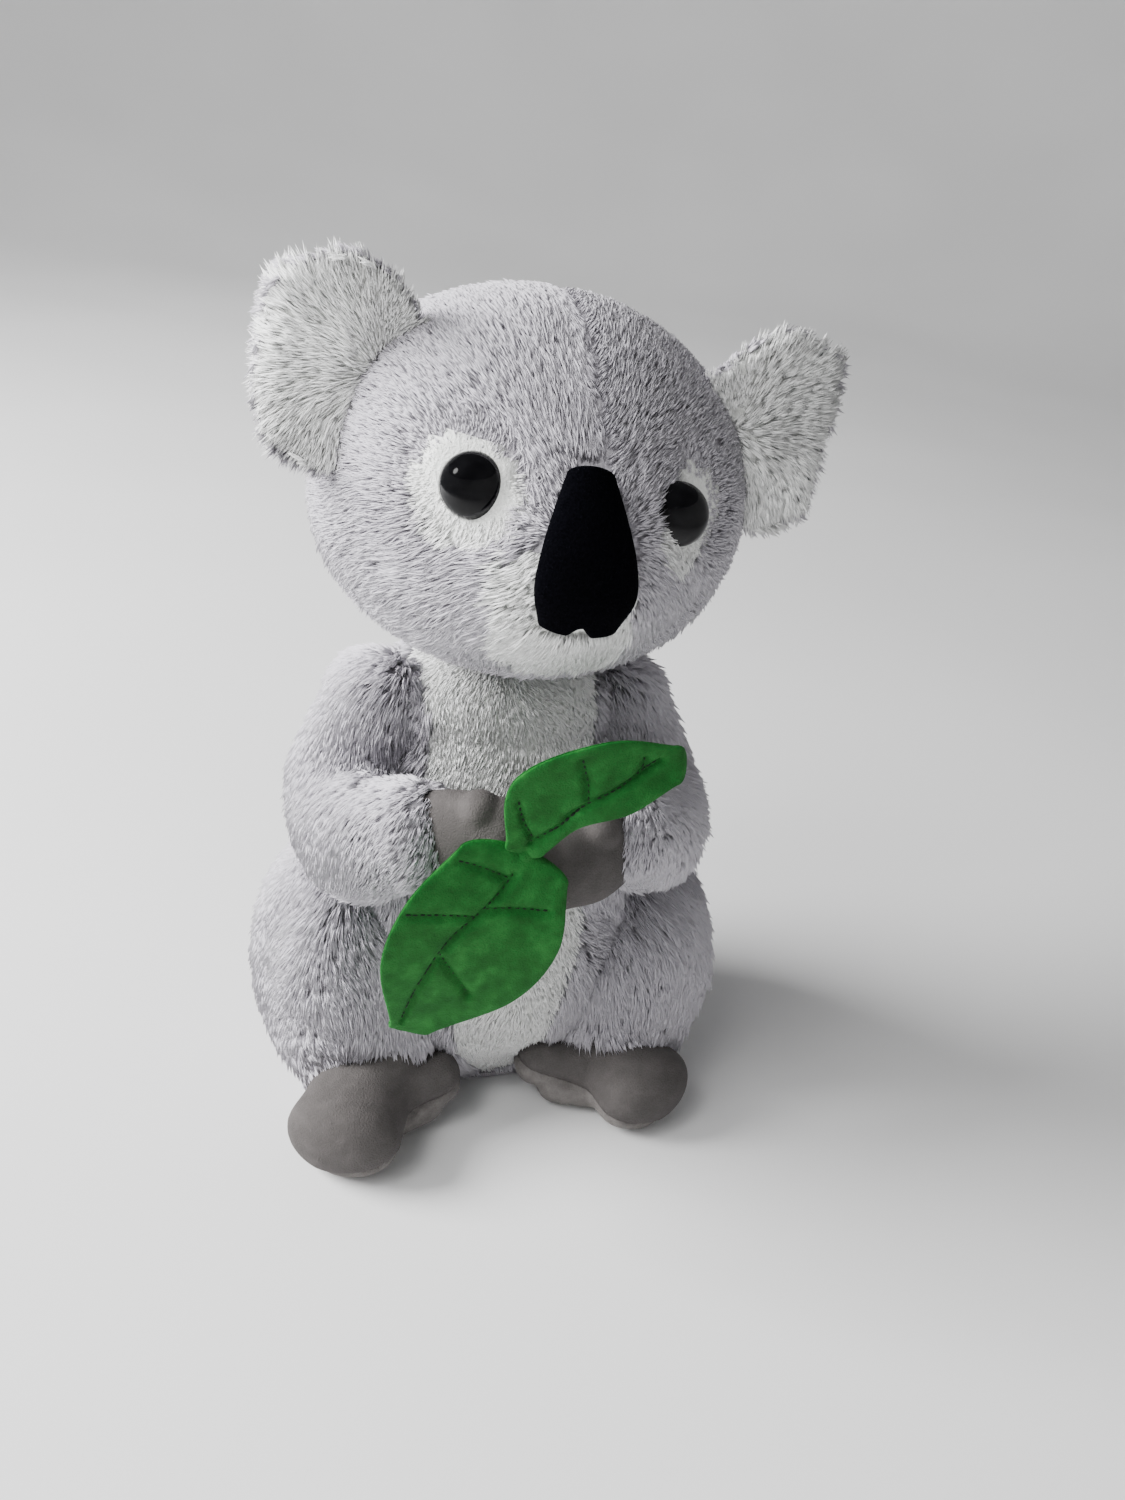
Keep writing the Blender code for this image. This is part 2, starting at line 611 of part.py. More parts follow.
def build_head():
    head = place(head_mesh.copy(), "head", toy, GREY_PLUSH, neck_pivot)
    boolean(head, cutter(neck_ball_mesh, "neck_recess", build_neck_seam() - NECK_BALL_RADIUS))

    nose_mesh = nose_form()
    notch_at = HEAD_FRAME @ on_face(0.0, -NOSE_BOTTOM_DROP - NOSE_END_DOME)
    notch = cutter(ball("nose_notch", NOSE_NOTCH_RADIUS, notch_at, SMALL_FACES), "nose_notch")
    nose = place(nose_mesh.copy(), "nose", toy, BLACK_VELVET, neck_pivot)
    boolean(nose, notch)
    nose_seat = cutter(nose_mesh, "nose_seat", GAP)
    boolean(nose_seat, cutter(notch.data, "nose_notch_core", -GAP))

    chin_frame = face_frame(0.0, -CHIN_PANEL_DROP)
    region = cylinder("chin_region", CHIN_PANEL_HALF_WIDTH, CHIN_PANEL_HALF_HEIGHT,
                      -HEAD_HALF_DEPTH / 2, HEAD_HALF_DEPTH / 2)
    chin, chin_seat = inlay(head_mesh, moved(region, chin_frame), CHIN_PANEL_DEPTH,
                            "chin_panel", WHITE_PLUSH, neck_pivot)
    boolean(chin, nose_seat)
    boolean(head, chin_seat)
    boolean(head, nose_seat)

    for side_name, side in SIDES:
        region = cylinder("eye_region_" + side_name, EYE_PATCH_RADIUS, EYE_PATCH_RADIUS,
                          -EYE_PATCH_RADIUS, EYE_PATCH_RADIUS)
        moved(region, face_frame(side * EYE_PATCH_SPACING, EYE_PATCH_RISE))
        patch, patch_seat = inlay(head_mesh, region, EYE_PATCH_DEPTH, "eye_patch_" + side_name,
                                  WHITE_PLUSH, neck_pivot)
        frame = face_frame(side * EYE_SPACING, EYE_RISE, EYE_SINK)
        pocket = eye_pocket(frame, "eye_pocket_" + side_name)
        boolean(patch, pocket)
        boolean(head, patch_seat)
        boolean(head, pocket)
        build_eye(side_name, frame)


def build_ear(side_name, side):
    root = Vector((side * EAR_ROOT_SPREAD, -EAR_ROOT_FORWARD, EAR_ROOT_RISE))
    route = [HEAD_FRAME @ (root + Vector((side * out, -ahead, up)) * EAR_LENGTH)
             for out, ahead, up in EAR_ROUTE_SHARES]
    axis = HEAD_FRAME.to_3x3() @ UP
    hinge = ear_hinge(side)
    pivot_empty = pivot("ear_pivot_" + side_name, hinge)
    turns = [turn_about(hinge, axis, turn) for turn in steps_of(-EAR_FLOP_DEG, EAR_FLOP_DEG, SWEEP_STEPS)]
    rooms = swept(head_mesh, "ear_room_" + side_name, turns)
    for layer, layer_name, finish in ((1, "front", WHITE_PLUSH), (-1, "back", GREY_PLUSH)):
        mesh = swollen("ear", route, scaled(EAR_HEIGHT_SHARES, EAR_HALF_HEIGHT),
                       scaled(EVEN_SHARES, EAR_THICKNESS), axis * side,
                       (EAR_ROOT_DOME, EAR_TIP_DOME), LIMB_FACES, layer, EAR_CUP)
        ear = place(mesh, f"ear_{side_name}_{layer_name}", toy, finish, pivot_empty)
        cut(ear, rooms)


def ear_hinge(side):
    """Place of the ear's seam on the side of the head, level with the middle of the ear."""
    inside = 1 - (EAR_ROOT_FORWARD / HEAD_HALF_DEPTH) ** 2 - (EAR_ROOT_RISE / HEAD_HALF_HEIGHT) ** 2
    out = side * HEAD_HALF_WIDTH * math.sqrt(inside)
    return HEAD_FRAME @ Vector((out, -EAR_ROOT_FORWARD, EAR_ROOT_RISE))


# Arms, hands and the sprig

def leg_form(side):
    heights = scaled(LEG_HEIGHT_SHARES, LEG_HALF_HEIGHT)
    return swollen("leg", on_floor(LEG_ROUTE_SHARES, heights, side),
                   scaled(LEG_WIDTH_SHARES, LEG_HALF_WIDTH), heights, Vector((1, 0, 0)),
                   (LEG_DOME, LEG_DOME), LIMB_FACES)


def arm_form(side):
    route = beside_torso(ARM_ROUTE_SHARES, side)
    return swollen("arm", route, scaled(ARM_WIDTH_SHARES, ARM_RADIUS),
                   scaled(ARM_DEPTH_SHARES, ARM_RADIUS), Vector((side, side, 0)),
                   (ARM_DOME, ARM_DOME), LIMB_FACES)


def hand_form(side):
    route = beside_torso(HAND_ROUTES[side], side)
    return swollen("palm", route, scaled(HAND_HEIGHT_SHARES, HAND_HALF_HEIGHT),
                   scaled(EVEN_SHARES, HAND_HALF_THICKNESS), UP, (HAND_DOME, HAND_DOME), SMALL_FACES)


def thumb_form(side):
    route = beside_torso(THUMB_ROUTES[side], side)
    return swollen("thumb", route, scaled(EVEN_SHARES, THUMB_RADIUS), scaled(EVEN_SHARES, THUMB_RADIUS),
                   Vector((side, 0, 0)), (THUMB_DOME, THUMB_DOME), SMALL_FACES)


def build_arms():
    shoulder = shoulder_pivot.location
    lifts = [turn_about(shoulder, "X", lift) for lift in steps_of(0, ARM_LIFT_DEG, SWEEP_STEPS)]
    torso_room = swept(torso_mesh, "arm_room", lifts)
    hands = {side: hand_form(side) for _, side in SIDES}
    tack_forms = build_tack()
    for side_name, side in SIDES:
        arm_mesh = arm_form(side)
        arm = place(arm_mesh.copy(), "arm_" + side_name, toy, GREY_PLUSH, shoulder_pivot)
        hand = place(hands[side].copy(), "hand_" + side_name, toy, GREY_MINKY, shoulder_pivot)
        boolean(hand, cutter(thumb_form(side), "thumb_" + side_name), "UNION")
        boolean(hand, cutter(arm_mesh, "cuff_" + side_name, GAP))
        for index, form in enumerate(tack_forms):
            boolean(hand, cutter(form, f"tack_seat_{side_name}_{index}", GAP))
        if side > 0:
            boolean(hand, cutter(hands[-side], "other_hand", GAP))
        cut(arm, torso_room)
        cut(hand, torso_room)
        hip_turns = [turn_about(HIPS[side_name], "Z", side * splay) for splay in (0, LEG_SPLAY_DEG)]
        cut(arm, swept(leg_form(side), "arm_leg_" + side_name, hip_turns))


def knot_place():
    tip = beside_torso(HAND_ROUTES[-1], -1)[-1]
    middle = lean(tip.z)
    return Vector((middle - KNOT_SIDE, tip.y - HAND_HALF_THICKNESS - KNOT_FORWARD, tip.z + KNOT_RISE))


def build_tack():
    """Gathered knot of the sprig, with its stitches reaching back into the hand."""
    knot = knot_place()
    reach = KNOT_FORWARD + HAND_HALF_THICKNESS / 2
    back = Matrix.Translation(knot) @ Matrix.Rotation(math.radians(-90), 4, "X")
    stem = cylinder("tack_stem", KNOT_STEM_RADIUS, KNOT_STEM_RADIUS, 0.0, reach, SMALL_FACES[0])
    moved(stem, back)
    knob = ball("sprig_tack", KNOT_RADIUS, knot, SMALL_FACES)
    tack = place(knob.copy(), "sprig_tack", toy, GREEN_MINKY, shoulder_pivot)
    boolean(tack, cutter(stem, "tack_stem"), "UNION")
    return knob, stem


def leaf(name, route_shares, length, half_width, width_shares, across):
    """The two layers of a leaf, sewn together at their edge, on the knot of the sprig."""
    knot = knot_place()
    route = [knot + Vector(shares) * length for shares in route_shares]
    carrier = pivot(name + "_pivot", knot)
    knot_room = cutter(ball(name + "_knot", KNOT_RADIUS, knot, SMALL_FACES), name + "_knot", GAP)
    for layer, layer_name in ((1, "front"), (-1, "back")):
        mesh = swollen(name, route, scaled(width_shares, half_width),
                       scaled(EVEN_SHARES, LEAF_LAYER_THICKNESS), across,
                       (LEAF_BASE_DOME, LEAF_TIP_DOME), LEAF_FACES, layer, LEAF_CUP)
        boolean(place(mesh, f"{name}_{layer_name}", toy, GREEN_MINKY, carrier), knot_room)


# Legs and feet

def build_leg(side_name, side):
    hip = HIPS[side_name]
    carrier = pivot("hip_pivot_" + side_name, hip)
    leg_mesh = leg_form(side)
    leg = place(leg_mesh.copy(), "leg_" + side_name, toy, GREY_PLUSH, carrier)
    splays = [turn_about(hip, "Z", -side * splay) for splay in steps_of(0, LEG_SPLAY_DEG, SWEEP_STEPS)]
    rooms = swept(torso_mesh, "leg_room_" + side_name, splays)
    cut(leg, rooms)
    boolean(leg, base_room)
    boolean(leg, floor)

    heights = scaled(FOOT_HEIGHT_SHARES, FOOT_HALF_HEIGHT)
    route = on_floor(FOOT_ROUTES[side], heights, side)
    lobe = swollen("foot", route, scaled(FOOT_WIDTH_SHARES, FOOT_HALF_WIDTH), heights,
                   Vector((1, 0, 0)), (FOOT_DOME, FOOT_DOME), LIMB_FACES)
    toe_height = TOE_RISE_SHARE * FOOT_HALF_HEIGHT
    toe_route = [Vector((side * across * TORSO_HALF_WIDTH, back * TORSO_HALF_DEPTH, toe_height))
                 for across, back in TOE_ROUTES[side]]
    toe = cutter(swollen("toe", toe_route, scaled(EVEN_SHARES, TOE_RADIUS), scaled(EVEN_SHARES, TOE_RADIUS),
                         UP, (TOE_DOME, TOE_DOME), SMALL_FACES), "toe_" + side_name)
    cuff = cutter(leg_mesh, "ankle_" + side_name, GAP)
    middle = Vector((route[1].x, route[1].y, SOLE_RISE))
    seam = Matrix.Translation(middle) @ Matrix.Rotation(math.radians(side * SOLE_TILT_DEG), 4, "Y")
    for name, finish, low, high in (("foot_", GREY_MINKY, -TORSO_HALF_WIDTH, GAP / 2),
                                    ("sole_", SOLE_MINKY, -GAP / 2, TORSO_HALF_WIDTH)):
        piece = place(lobe.copy(), name + side_name, toy, finish, carrier)
        boolean(piece, toe, "UNION")
        boolean(piece, cuff)
        cut(piece, rooms)
        boolean(piece, floor)
        slab = cylinder(name + "slab", TORSO_HALF_WIDTH, TORSO_HALF_WIDTH, low, high)
        boolean(piece, cutter(moved(slab, seam), f"{name}slab_{side_name}"))


build_torso()
build_head()
for each_name, each_side in SIDES:
    build_ear(each_name, each_side)
    build_leg(each_name, each_side)
build_arms()
leaf("leaf_large", LEAF_LARGE_ROUTE_SHARES, LEAF_LARGE_LENGTH, LEAF_LARGE_HALF_WIDTH,
     LEAF_LARGE_WIDTH_SHARES, Vector((1, 0, 0)))
leaf("leaf_small", LEAF_SMALL_ROUTE_SHARES, LEAF_SMALL_LENGTH, LEAF_SMALL_HALF_WIDTH,
     LEAF_SMALL_WIDTH_SHARES, Vector((-1, 0, 1)))
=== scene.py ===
"""Looks of the plush koala: pile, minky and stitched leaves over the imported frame.

Metres, Z up, the toy faces -Y. The forms repeat the routes and sizes of the part, a pile's
depth smaller, and the pile grows from them as thin tapered blades in tufts.
"""
import math

import bmesh
import bpy
import numpy as np
from mathutils import Matrix, Vector
from mathutils.bvhtree import BVHTree
from mathutils.geometry import intersect_point_line


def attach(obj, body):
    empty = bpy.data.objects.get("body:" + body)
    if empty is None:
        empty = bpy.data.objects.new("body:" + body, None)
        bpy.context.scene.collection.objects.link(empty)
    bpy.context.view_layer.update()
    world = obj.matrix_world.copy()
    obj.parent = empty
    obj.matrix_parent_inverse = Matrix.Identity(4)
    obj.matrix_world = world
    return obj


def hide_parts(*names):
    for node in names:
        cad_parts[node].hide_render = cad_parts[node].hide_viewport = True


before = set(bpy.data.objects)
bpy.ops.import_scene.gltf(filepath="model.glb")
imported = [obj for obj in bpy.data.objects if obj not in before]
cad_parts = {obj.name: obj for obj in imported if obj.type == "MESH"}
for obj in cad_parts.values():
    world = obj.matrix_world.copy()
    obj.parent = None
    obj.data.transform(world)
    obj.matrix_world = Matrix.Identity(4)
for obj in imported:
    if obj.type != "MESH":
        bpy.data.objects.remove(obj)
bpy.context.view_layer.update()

UP = Vector((0, 0, 1))
SIDES = (("right", -1), ("left", 1))

# Sizes of the part
TORSO_HEIGHT = 0.168
TORSO_HALF_WIDTH = 0.064
TORSO_HALF_DEPTH = 0.056
TORSO_FRONT_LEAN = 0.010
TORSO_SIDE_LEAN = 0.005
TORSO_BASE_DOME = 0.006
TORSO_TOP_DOME = 0.022
TORSO_WIDTH_SHARES = (0.84, 1.0, 1.0, 0.91, 0.80, 0.66)
TORSO_DEPTH_SHARES = (0.70, 0.98, 1.0, 0.92, 0.78, 0.58)
SEAT_HALF_WIDTH = 0.044
SEAT_HALF_DEPTH = 0.038
SEAT_PANEL_THICKNESS = 0.003
POUCH_HALF_WIDTH = 0.036
POUCH_HALF_DEPTH = 0.030
POUCH_HEIGHT = 0.034
BELLY_HALF_WIDTHS = (0.0167, 0.0238, 0.0243, 0.0259, 0.027)
BELLY_LOW = 0.006
NECK = Vector((-0.005, -0.014, 0.160))
HEAD_HALF_WIDTH = 0.067
HEAD_HALF_DEPTH = 0.056
HEAD_HALF_HEIGHT = 0.0585
HEAD_SIDE = 0.0015
HEAD = NECK + Vector((HEAD_SIDE, -0.004, HEAD_HALF_HEIGHT + 0.0035))
HEAD_FRAME = Matrix.Translation(HEAD) @ Matrix.Rotation(math.radians(4.5), 4, "Y")
MUZZLE_BULGE = 0.019
MUZZLE_DROP = 0.014
MUZZLE_SPREAD_WIDTH = 0.023
MUZZLE_SPREAD_HEIGHT = 0.021
CHEEK_BULGE = 0.003
CHEEK_SPACING = 0.036
CHEEK_DROP = 0.022
CHEEK_SPREAD = 0.022
CHIN_HALF_WIDTH = 0.0220
CHIN_HALF_HEIGHT = 0.0210
CHIN_DROP = 0.031
CHIN_LIFT = 0.0028
CHIN_PILE_HALF_WIDTH = 0.0185
EYE_SPACING = 0.030
EYE_RISE = 0.0115
EYE_RADIUS = 0.0090
EYE_DOME = 0.0054
EYE_RIM = 0.0016
EYE_SINK = 0.0022
EYE_STEM_RADIUS = 0.0025
EYE_STEM_LENGTH = 0.014
EYE_PATCH_RADIUS = 0.0135
EYE_PATCH_SPACING = 0.0315
EYE_PATCH_RISE = 0.009
NOSE_TOP_RISE = 0.019
NOSE_BOTTOM_DROP = 0.017
NOSE_END_DOME = 0.0025
NOSE_HALF_WIDTH = 0.0140
NOSE_HALF_THICKNESS = 0.0050
NOSE_WIDTH_SHARES = (0.78, 1.0, 0.94, 0.74, 0.48)
NOSE_THICKNESS_SHARES = (0.9, 1.0, 1.0, 0.8)
NOSE_NOTCH_RADIUS = 0.0035
EAR_ROOT_SPREAD = 0.048
EAR_ROOT_FORWARD = 0.010
EAR_ROOT_RISE = 0.028
EAR_LENGTH = 0.027
EAR_TIP_DOME = 0.011
EAR_ROOT_DOME = 0.006
EAR_HALF_HEIGHT = 0.0290
EAR_THICKNESS = 0.0068
EAR_CUP = 0.008
EAR_HEIGHT_SHARES = (0.62, 0.92, 1.0, 0.86)
EAR_ROUTE_SHARES = ((0.0, 0.0, 0.0), (0.50, 0.10, 0.06), (1.0, 0.02, 0.08))
ARM_RADIUS = 0.0205
ARM_ROUTE_SHARES = ((0.60, -0.16, 0.86), (0.775, -0.30, 0.705), (0.74, -0.70, 0.655),
                    (0.53, -1.0, 0.715))
ARM_WIDTH_SHARES = (0.90, 1.0, 0.98, 0.84)
ARM_DEPTH_SHARES = (1.0, 1.08, 1.06, 0.92)
ARM_DOME = 0.016
HAND_HALF_HEIGHT = 0.0170
HAND_HALF_THICKNESS = 0.0105
HAND_ROUTES = {
    -1: ((0.58, -0.93, 0.70), (0.36, -1.13, 0.725), (0.16, -1.24, 0.74)),
    1: ((0.56, -0.95, 0.69), (0.36, -1.13, 0.685), (0.16, -1.22, 0.68)),
}
HAND_HEIGHT_SHARES = (0.80, 1.0, 0.90)
HAND_DOME = 0.010
THUMB_RADIUS = 0.0070
THUMB_ROUTES = {
    -1: ((0.36, -1.10, 0.75), (0.265, -1.22, 0.805)),
    1: ((0.42, -1.10, 0.71), (0.33, -1.22, 0.76)),
}
THUMB_DOME = 0.006
LEG_HALF_WIDTH = 0.029
LEG_HALF_HEIGHT = 0.045
LEG_ROUTE_SHARES = ((0.76, 0.36), (0.86, -0.11), (0.83, -0.48), (0.69, -0.72))
LEG_WIDTH_SHARES = (0.84, 1.0, 1.0, 0.92)
LEG_HEIGHT_SHARES = (0.84, 1.0, 0.88, 0.50)
LEG_DOME = 0.014
FOOT_HALF_WIDTH = 0.0195
FOOT_HALF_HEIGHT = 0.0150
FOOT_ROUTES = {
    -1: ((0.70, -0.82), (0.79, -1.07), (0.89, -1.31)),
    1: ((0.66, -0.74), (0.72, -0.94), (0.80, -1.14)),
}
FOOT_WIDTH_SHARES = (1.05, 0.92, 1.0)
FOOT_HEIGHT_SHARES = (1.30, 1.08, 1.0)
FOOT_DOME = 0.013
TOE_RADIUS = 0.0100
TOE_ROUTES = {-1: ((0.68, -1.04), (0.35, -0.95)), 1: ((0.63, -0.95), (0.23, -0.84))}
TOE_RISE_SHARE = 1.15
TOE_DOME = 0.008
WEB_ROUTES = {-1: ((0.80, -1.16), (0.44, -0.97)), 1: ((0.74, -1.02), (0.36, -0.89))}
WEB_RISE = 0.0098
WEB_RADIUS = 0.0098
SOLE_RISE = 0.0080
SOLE_TILT_DEG = 16
KNOT_RADIUS = 0.0035
KNOT = Vector((-0.0112, -0.08494, 0.13032))
LEAF_LAYER_THICKNESS = 0.0030
LEAF_BASE_DOME = 0.0055
LEAF_TIP_DOME = 0.0050
LEAF_CUP = 0.003
LEAF_LARGE_LENGTH = 0.070
LEAF_LARGE_HALF_WIDTH = 0.0250
LEAF_LARGE_ROUTE = ((-0.045, -0.01, -0.035), (-0.155, -0.05, -0.31), (-0.28, -0.03, -0.60),
                    (-0.41, 0.04, -0.88))
LEAF_LARGE_WIDTHS = (0.72, 1.03, 0.92, 0.30)
LEAF_SMALL_LENGTH = 0.056
LEAF_SMALL_HALF_WIDTH = 0.0138
LEAF_SMALL_ROUTE = ((0.0, -0.01, 0.09), (0.07, -0.06, 0.37), (0.39, -0.10, 0.525), (0.715, -0.04, 0.56))
LEAF_SMALL_WIDTHS = (0.45, 0.96, 0.92, 0.44)
FUR_SINK = 0.0005
GAP = 0.0003

# Stitched veins of the leaves, as shares of a leaf's length and of its half width
LEAF_LARGE_VEINS = (
    ((0.04, 0.06), (0.16, -0.02), (0.30, -0.15), (0.42, -0.27), (0.53, -0.32), (0.75, -0.38),
     (0.98, -0.50)),
    ((0.06, -0.86), (0.056, -0.52), (0.07, 0.05)),
    ((0.385, -0.94), (0.35, -0.62), (0.30, -0.15)),
    ((0.15, 0.74), (0.20, 0.25), (0.25, -0.10)),
    ((0.53, -0.32), (0.612, -0.02), (0.706, 0.40)),
)
LEAF_SMALL_VEINS = (
    ((0.02, -0.12), (0.11, -0.45), (0.26, -0.66), (0.49, -0.45), (0.72, -0.20), (0.92, 0.35)),
    ((0.58, 0.72), (0.545, 0.05), (0.49, -0.45)),
    ((0.78, -0.10), (0.82, 0.12), (0.84, 0.45)),
    ((0.25, 0.62), (0.14, 0.30), (0.05, -0.20)),
)
VEIN_DEPTH = 0.0019
VEIN_SPREAD = 0.0011
STITCH_STEP = 0.0022
STITCH_HALF_LENGTH = 0.0010
STITCH_RADIUS = 0.00045
VEIN_STEPS = 60

# Where the filling swells the head: heading from its centre, how wide, how far
HEAD_SWELLS = (((-0.70, -0.38, 0.60), 0.48, 0.0046), ((-0.85, -0.25, -0.45), 0.42, 0.0020))

# The pile and the cloth that it grows from
PILE_SINK = 0.0025
EAR_PILE_SINK = 0.002
BURIED_DEPTH = 0.0020
EAR_BURIED_DEPTH = 0.0015
CLOTH_LOWEST = 0.0012
LEG_PILE_LOWEST = 0.0016
BLADE_LOWEST = 0.0003
TUFT_SPACING = 0.0018
TORSO_TUFT_SPACING = 0.0019
BLADE_WIDTH = 0.00034
BLADE_RISE = 0.30
BLADE_FALL = 0.26
PIECE_BLADES = 48000
FUR_LIFT = math.radians(17)
TORSO_PILE = 0.0090
BIB_PILE = 0.0050
ARM_PILE = 0.0088
LEG_PILE = 0.0090
PANEL_PROUD = 0.0004
PANEL_THICKNESS = 0.0008

# How the forms are made
ACROSS = Vector((1, 0, 0))
HEAD_TURN = HEAD_FRAME.to_3x3()
DOME_SHARE = 0.24
NUDGE_SHARE = 0.001
TORSO_FACES = (72, 54)
HEAD_FACES = (96, 72)
LIMB_FACES = (48, 40)
NOSE_FACES = (56, 48)
PALM_FACES = (32, 24)
FOOT_FACES = (40, 32)
LOBE_FACES = (24, 20)
LEAF_FACES = (144, 110)
BASE_FACES = (48, 32)
SKIN_VOXEL = 0.0010
SOLE_GROOVE_DEPTH = 0.0017
SOLE_GROOVE_REACH = 0.0022
SOLE_LOWEST = 0.0002

# The studio: a floor that sweeps up into a wall, and its lights as name, place, aim, size,
# power and whether the eyes mirror them
FLOOR_RADIUS = 2.0
SWEEP_RADIUS = 1.4
WALL_TOP = 2.6
LIGHTS = (
    ("window", (-1.25, 0.22, 0.80), (0, 0, 0.12), 0.8, 68, False),
    ("ceiling", (-1.05, -0.65, 1.25), (-0.1, -0.2, 0.05), 1.2, 14, False),
    ("backdrop", (-0.1, 1.0, 1.5), (-0.4, 2.8, 0.3), 1.0, 13, False),
    ("catch_light", (-0.70, -0.42, 1.08), (0, -0.08, 0.22), 0.28, 3.0, True),
)


# Camera and studio

def set_camera():
    """The photograph's view: 27 degrees down, 18 to the toy's right, and rolled by 8."""
    turn, rise, roll, distance = math.radians(-18), math.radians(27), math.radians(8), 0.430
    aim = Vector((0.0175, -0.020, 0.130))
    back = Vector((math.sin(turn) * math.cos(rise), -math.cos(turn) * math.cos(rise), math.sin(rise)))
    level = Vector((math.cos(turn), math.sin(turn), 0))
    right = level * math.cos(roll) + back.cross(level) * math.sin(roll)
    pose = Matrix((right, back.cross(right), back)).transposed().to_4x4()
    pose.translation = aim + back * distance
    lens = bpy.data.cameras.new("portrait")
    lens.sensor_fit = "VERTICAL"
    lens.sensor_height = 36
    lens.lens = 30
    holder = bpy.data.objects.new("portrait", lens)
    holder.matrix_world = pose
    bpy.context.scene.collection.objects.link(holder)
    bpy.context.scene.camera = holder


def soft_box(name, spot, aim, size, power, mirrored):
    lamp = bpy.data.lights.new(name, "AREA")
    lamp.shape = "DISK"
    lamp.size = size
    lamp.energy = power
    holder = bpy.data.objects.new(name, lamp)
    holder.location = spot
    holder.rotation_euler = (Vector(aim) - Vector(spot)).to_track_quat("-Z", "Y").to_euler()
    holder.visible_glossy = mirrored
    bpy.context.scene.collection.objects.link(holder)


def set_studio():
    world = bpy.data.worlds.new("studio_air")
    world.use_nodes = True
    air = world.node_tree.nodes["Background"]
    air.inputs["Color"].default_value = (0.80, 0.80, 0.82, 1)
    air.inputs["Strength"].default_value = 0.16
    bpy.context.scene.world = world
    for light in LIGHTS:
        soft_box(*light)
    profile = [(0, 0), (0.6, 0), (1.4, 0)]
    for angle in [math.pi / 2 * index / 12 for index in range(13)]:
        profile.append((FLOOR_RADIUS + SWEEP_RADIUS * math.sin(angle), SWEEP_RADIUS * (1 - math.cos(angle))))
    profile.append((FLOOR_RADIUS + SWEEP_RADIUS, WALL_TOP))
    finished(lathe(profile, 96), "studio_floor", paper())


# Materials

def nodes_of(name, inputs):
    """A new material, its node tree, and its shader with these inputs."""
    made = bpy.data.materials.new(name)
    made.use_nodes = True
    tree = made.node_tree
    shader = tree.nodes["Principled BSDF"]
    for label, value in inputs.items():
        shader.inputs[label].default_value = value
    return made, tree, shader


def own_place(tree):
    return tree.nodes.new("ShaderNodeTexCoord").outputs["Object"]


def ramp(tree, source, stops):
    node = tree.nodes.new("ShaderNodeValToRGB")
    bar = node.color_ramp
    while len(bar.elements) < len(stops):
        bar.elements.new(0.5)
    for element, (place, colour) in zip(bar.elements, stops):
        element.position = place
        element.color = (*colour, 1.0)
    tree.links.new(source, node.inputs["Fac"])
    return node.outputs["Color"]


def grain(tree, size, detail):
    """Noise on the piece's own coordinates, with features of about this size."""
    spot = tree.nodes.new("ShaderNodeMapping")
    spot.inputs["Scale"].default_value = (1 / size, 1 / size, 1 / size)
    tree.links.new(own_place(tree), spot.inputs["Vector"])
    node = tree.nodes.new("ShaderNodeTexNoise")
    node.inputs["Scale"].default_value = 1.0
    node.inputs["Detail"].default_value = detail
    tree.links.new(spot.outputs["Vector"], node.inputs["Vector"])
    return node.outputs[0]


def blended(tree, share, one, other, way="MIX"):
    node = tree.nodes.new("ShaderNodeMix")
    node.data_type = "RGBA"
    node.blend_type = way
    for socket, value in ((node.inputs[0], share), (node.inputs[6], one), (node.inputs[7], other)):
        if isinstance(value, bpy.types.NodeSocket):
            tree.links.new(value, socket)
        elif isinstance(value, tuple):
            socket.default_value = (*value, 1.0)
        else:
            socket.default_value = value
    return node.outputs[2]


def bumped(tree, shader, height, depth, strength):
    node = tree.nodes.new("ShaderNodeBump")
    node.inputs["Strength"].default_value = strength
    node.inputs["Distance"].default_value = depth
    tree.links.new(height, node.inputs["Height"])
    tree.links.new(node.outputs["Normal"], shader.inputs["Normal"])


def paper():
    made, tree, shader = nodes_of("pale_paper", {"Roughness": 0.75})
    tone = ramp(tree, grain(tree, 0.35, 1.0), ((0.3, (0.80, 0.80, 0.80)), (0.7, (0.85, 0.85, 0.85))))
    tree.links.new(tone, shader.inputs["Base Color"])
    return made


def fur(name, root, middle, tip, shadow, halo):
    """Pile whose blades run from dark roots to light tips, each with its own tone. The darker roots are
    partly a frosted pile's own colour and partly painted shade deep between the tufts.
    """
    made, tree, shader = nodes_of(name, {"Roughness": 0.9, "Specular IOR Level": 0.15,
                                         "Sheen Weight": halo, "Sheen Roughness": 0.6})
    chart = tree.nodes.new("ShaderNodeUVMap")
    chart.uv_map = "OFBake"
    parts = tree.nodes.new("ShaderNodeSeparateXYZ")
    tree.links.new(chart.outputs["UV"], parts.inputs["Vector"])
    # Darker towards the roots: partly frosted tips, partly painted shade deep in the pile.
    length = ramp(tree, parts.outputs["Y"], ((0.0, root), (0.45, middle), (1.0, tip)))
    tone = ramp(tree, parts.outputs["X"], ((0.0, shadow), (0.65, (0.94, 0.94, 0.94)), (1.0, (1, 1, 1))))
    tree.links.new(blended(tree, 1.0, length, tone, "MULTIPLY"), shader.inputs["Base Color"])
    return made


def backing(name, light, dark):
    """Knitted backing cloth under the pile."""
    made, tree, shader = nodes_of(name, {"Roughness": 0.95, "Specular IOR Level": 0.1})
    fine = grain(tree, 0.0009, 4.0)
    tree.links.new(ramp(tree, fine, ((0.3, dark), (0.7, light))), shader.inputs["Base Color"])
    bumped(tree, shader, fine, 0.0006, 0.9)
    return made


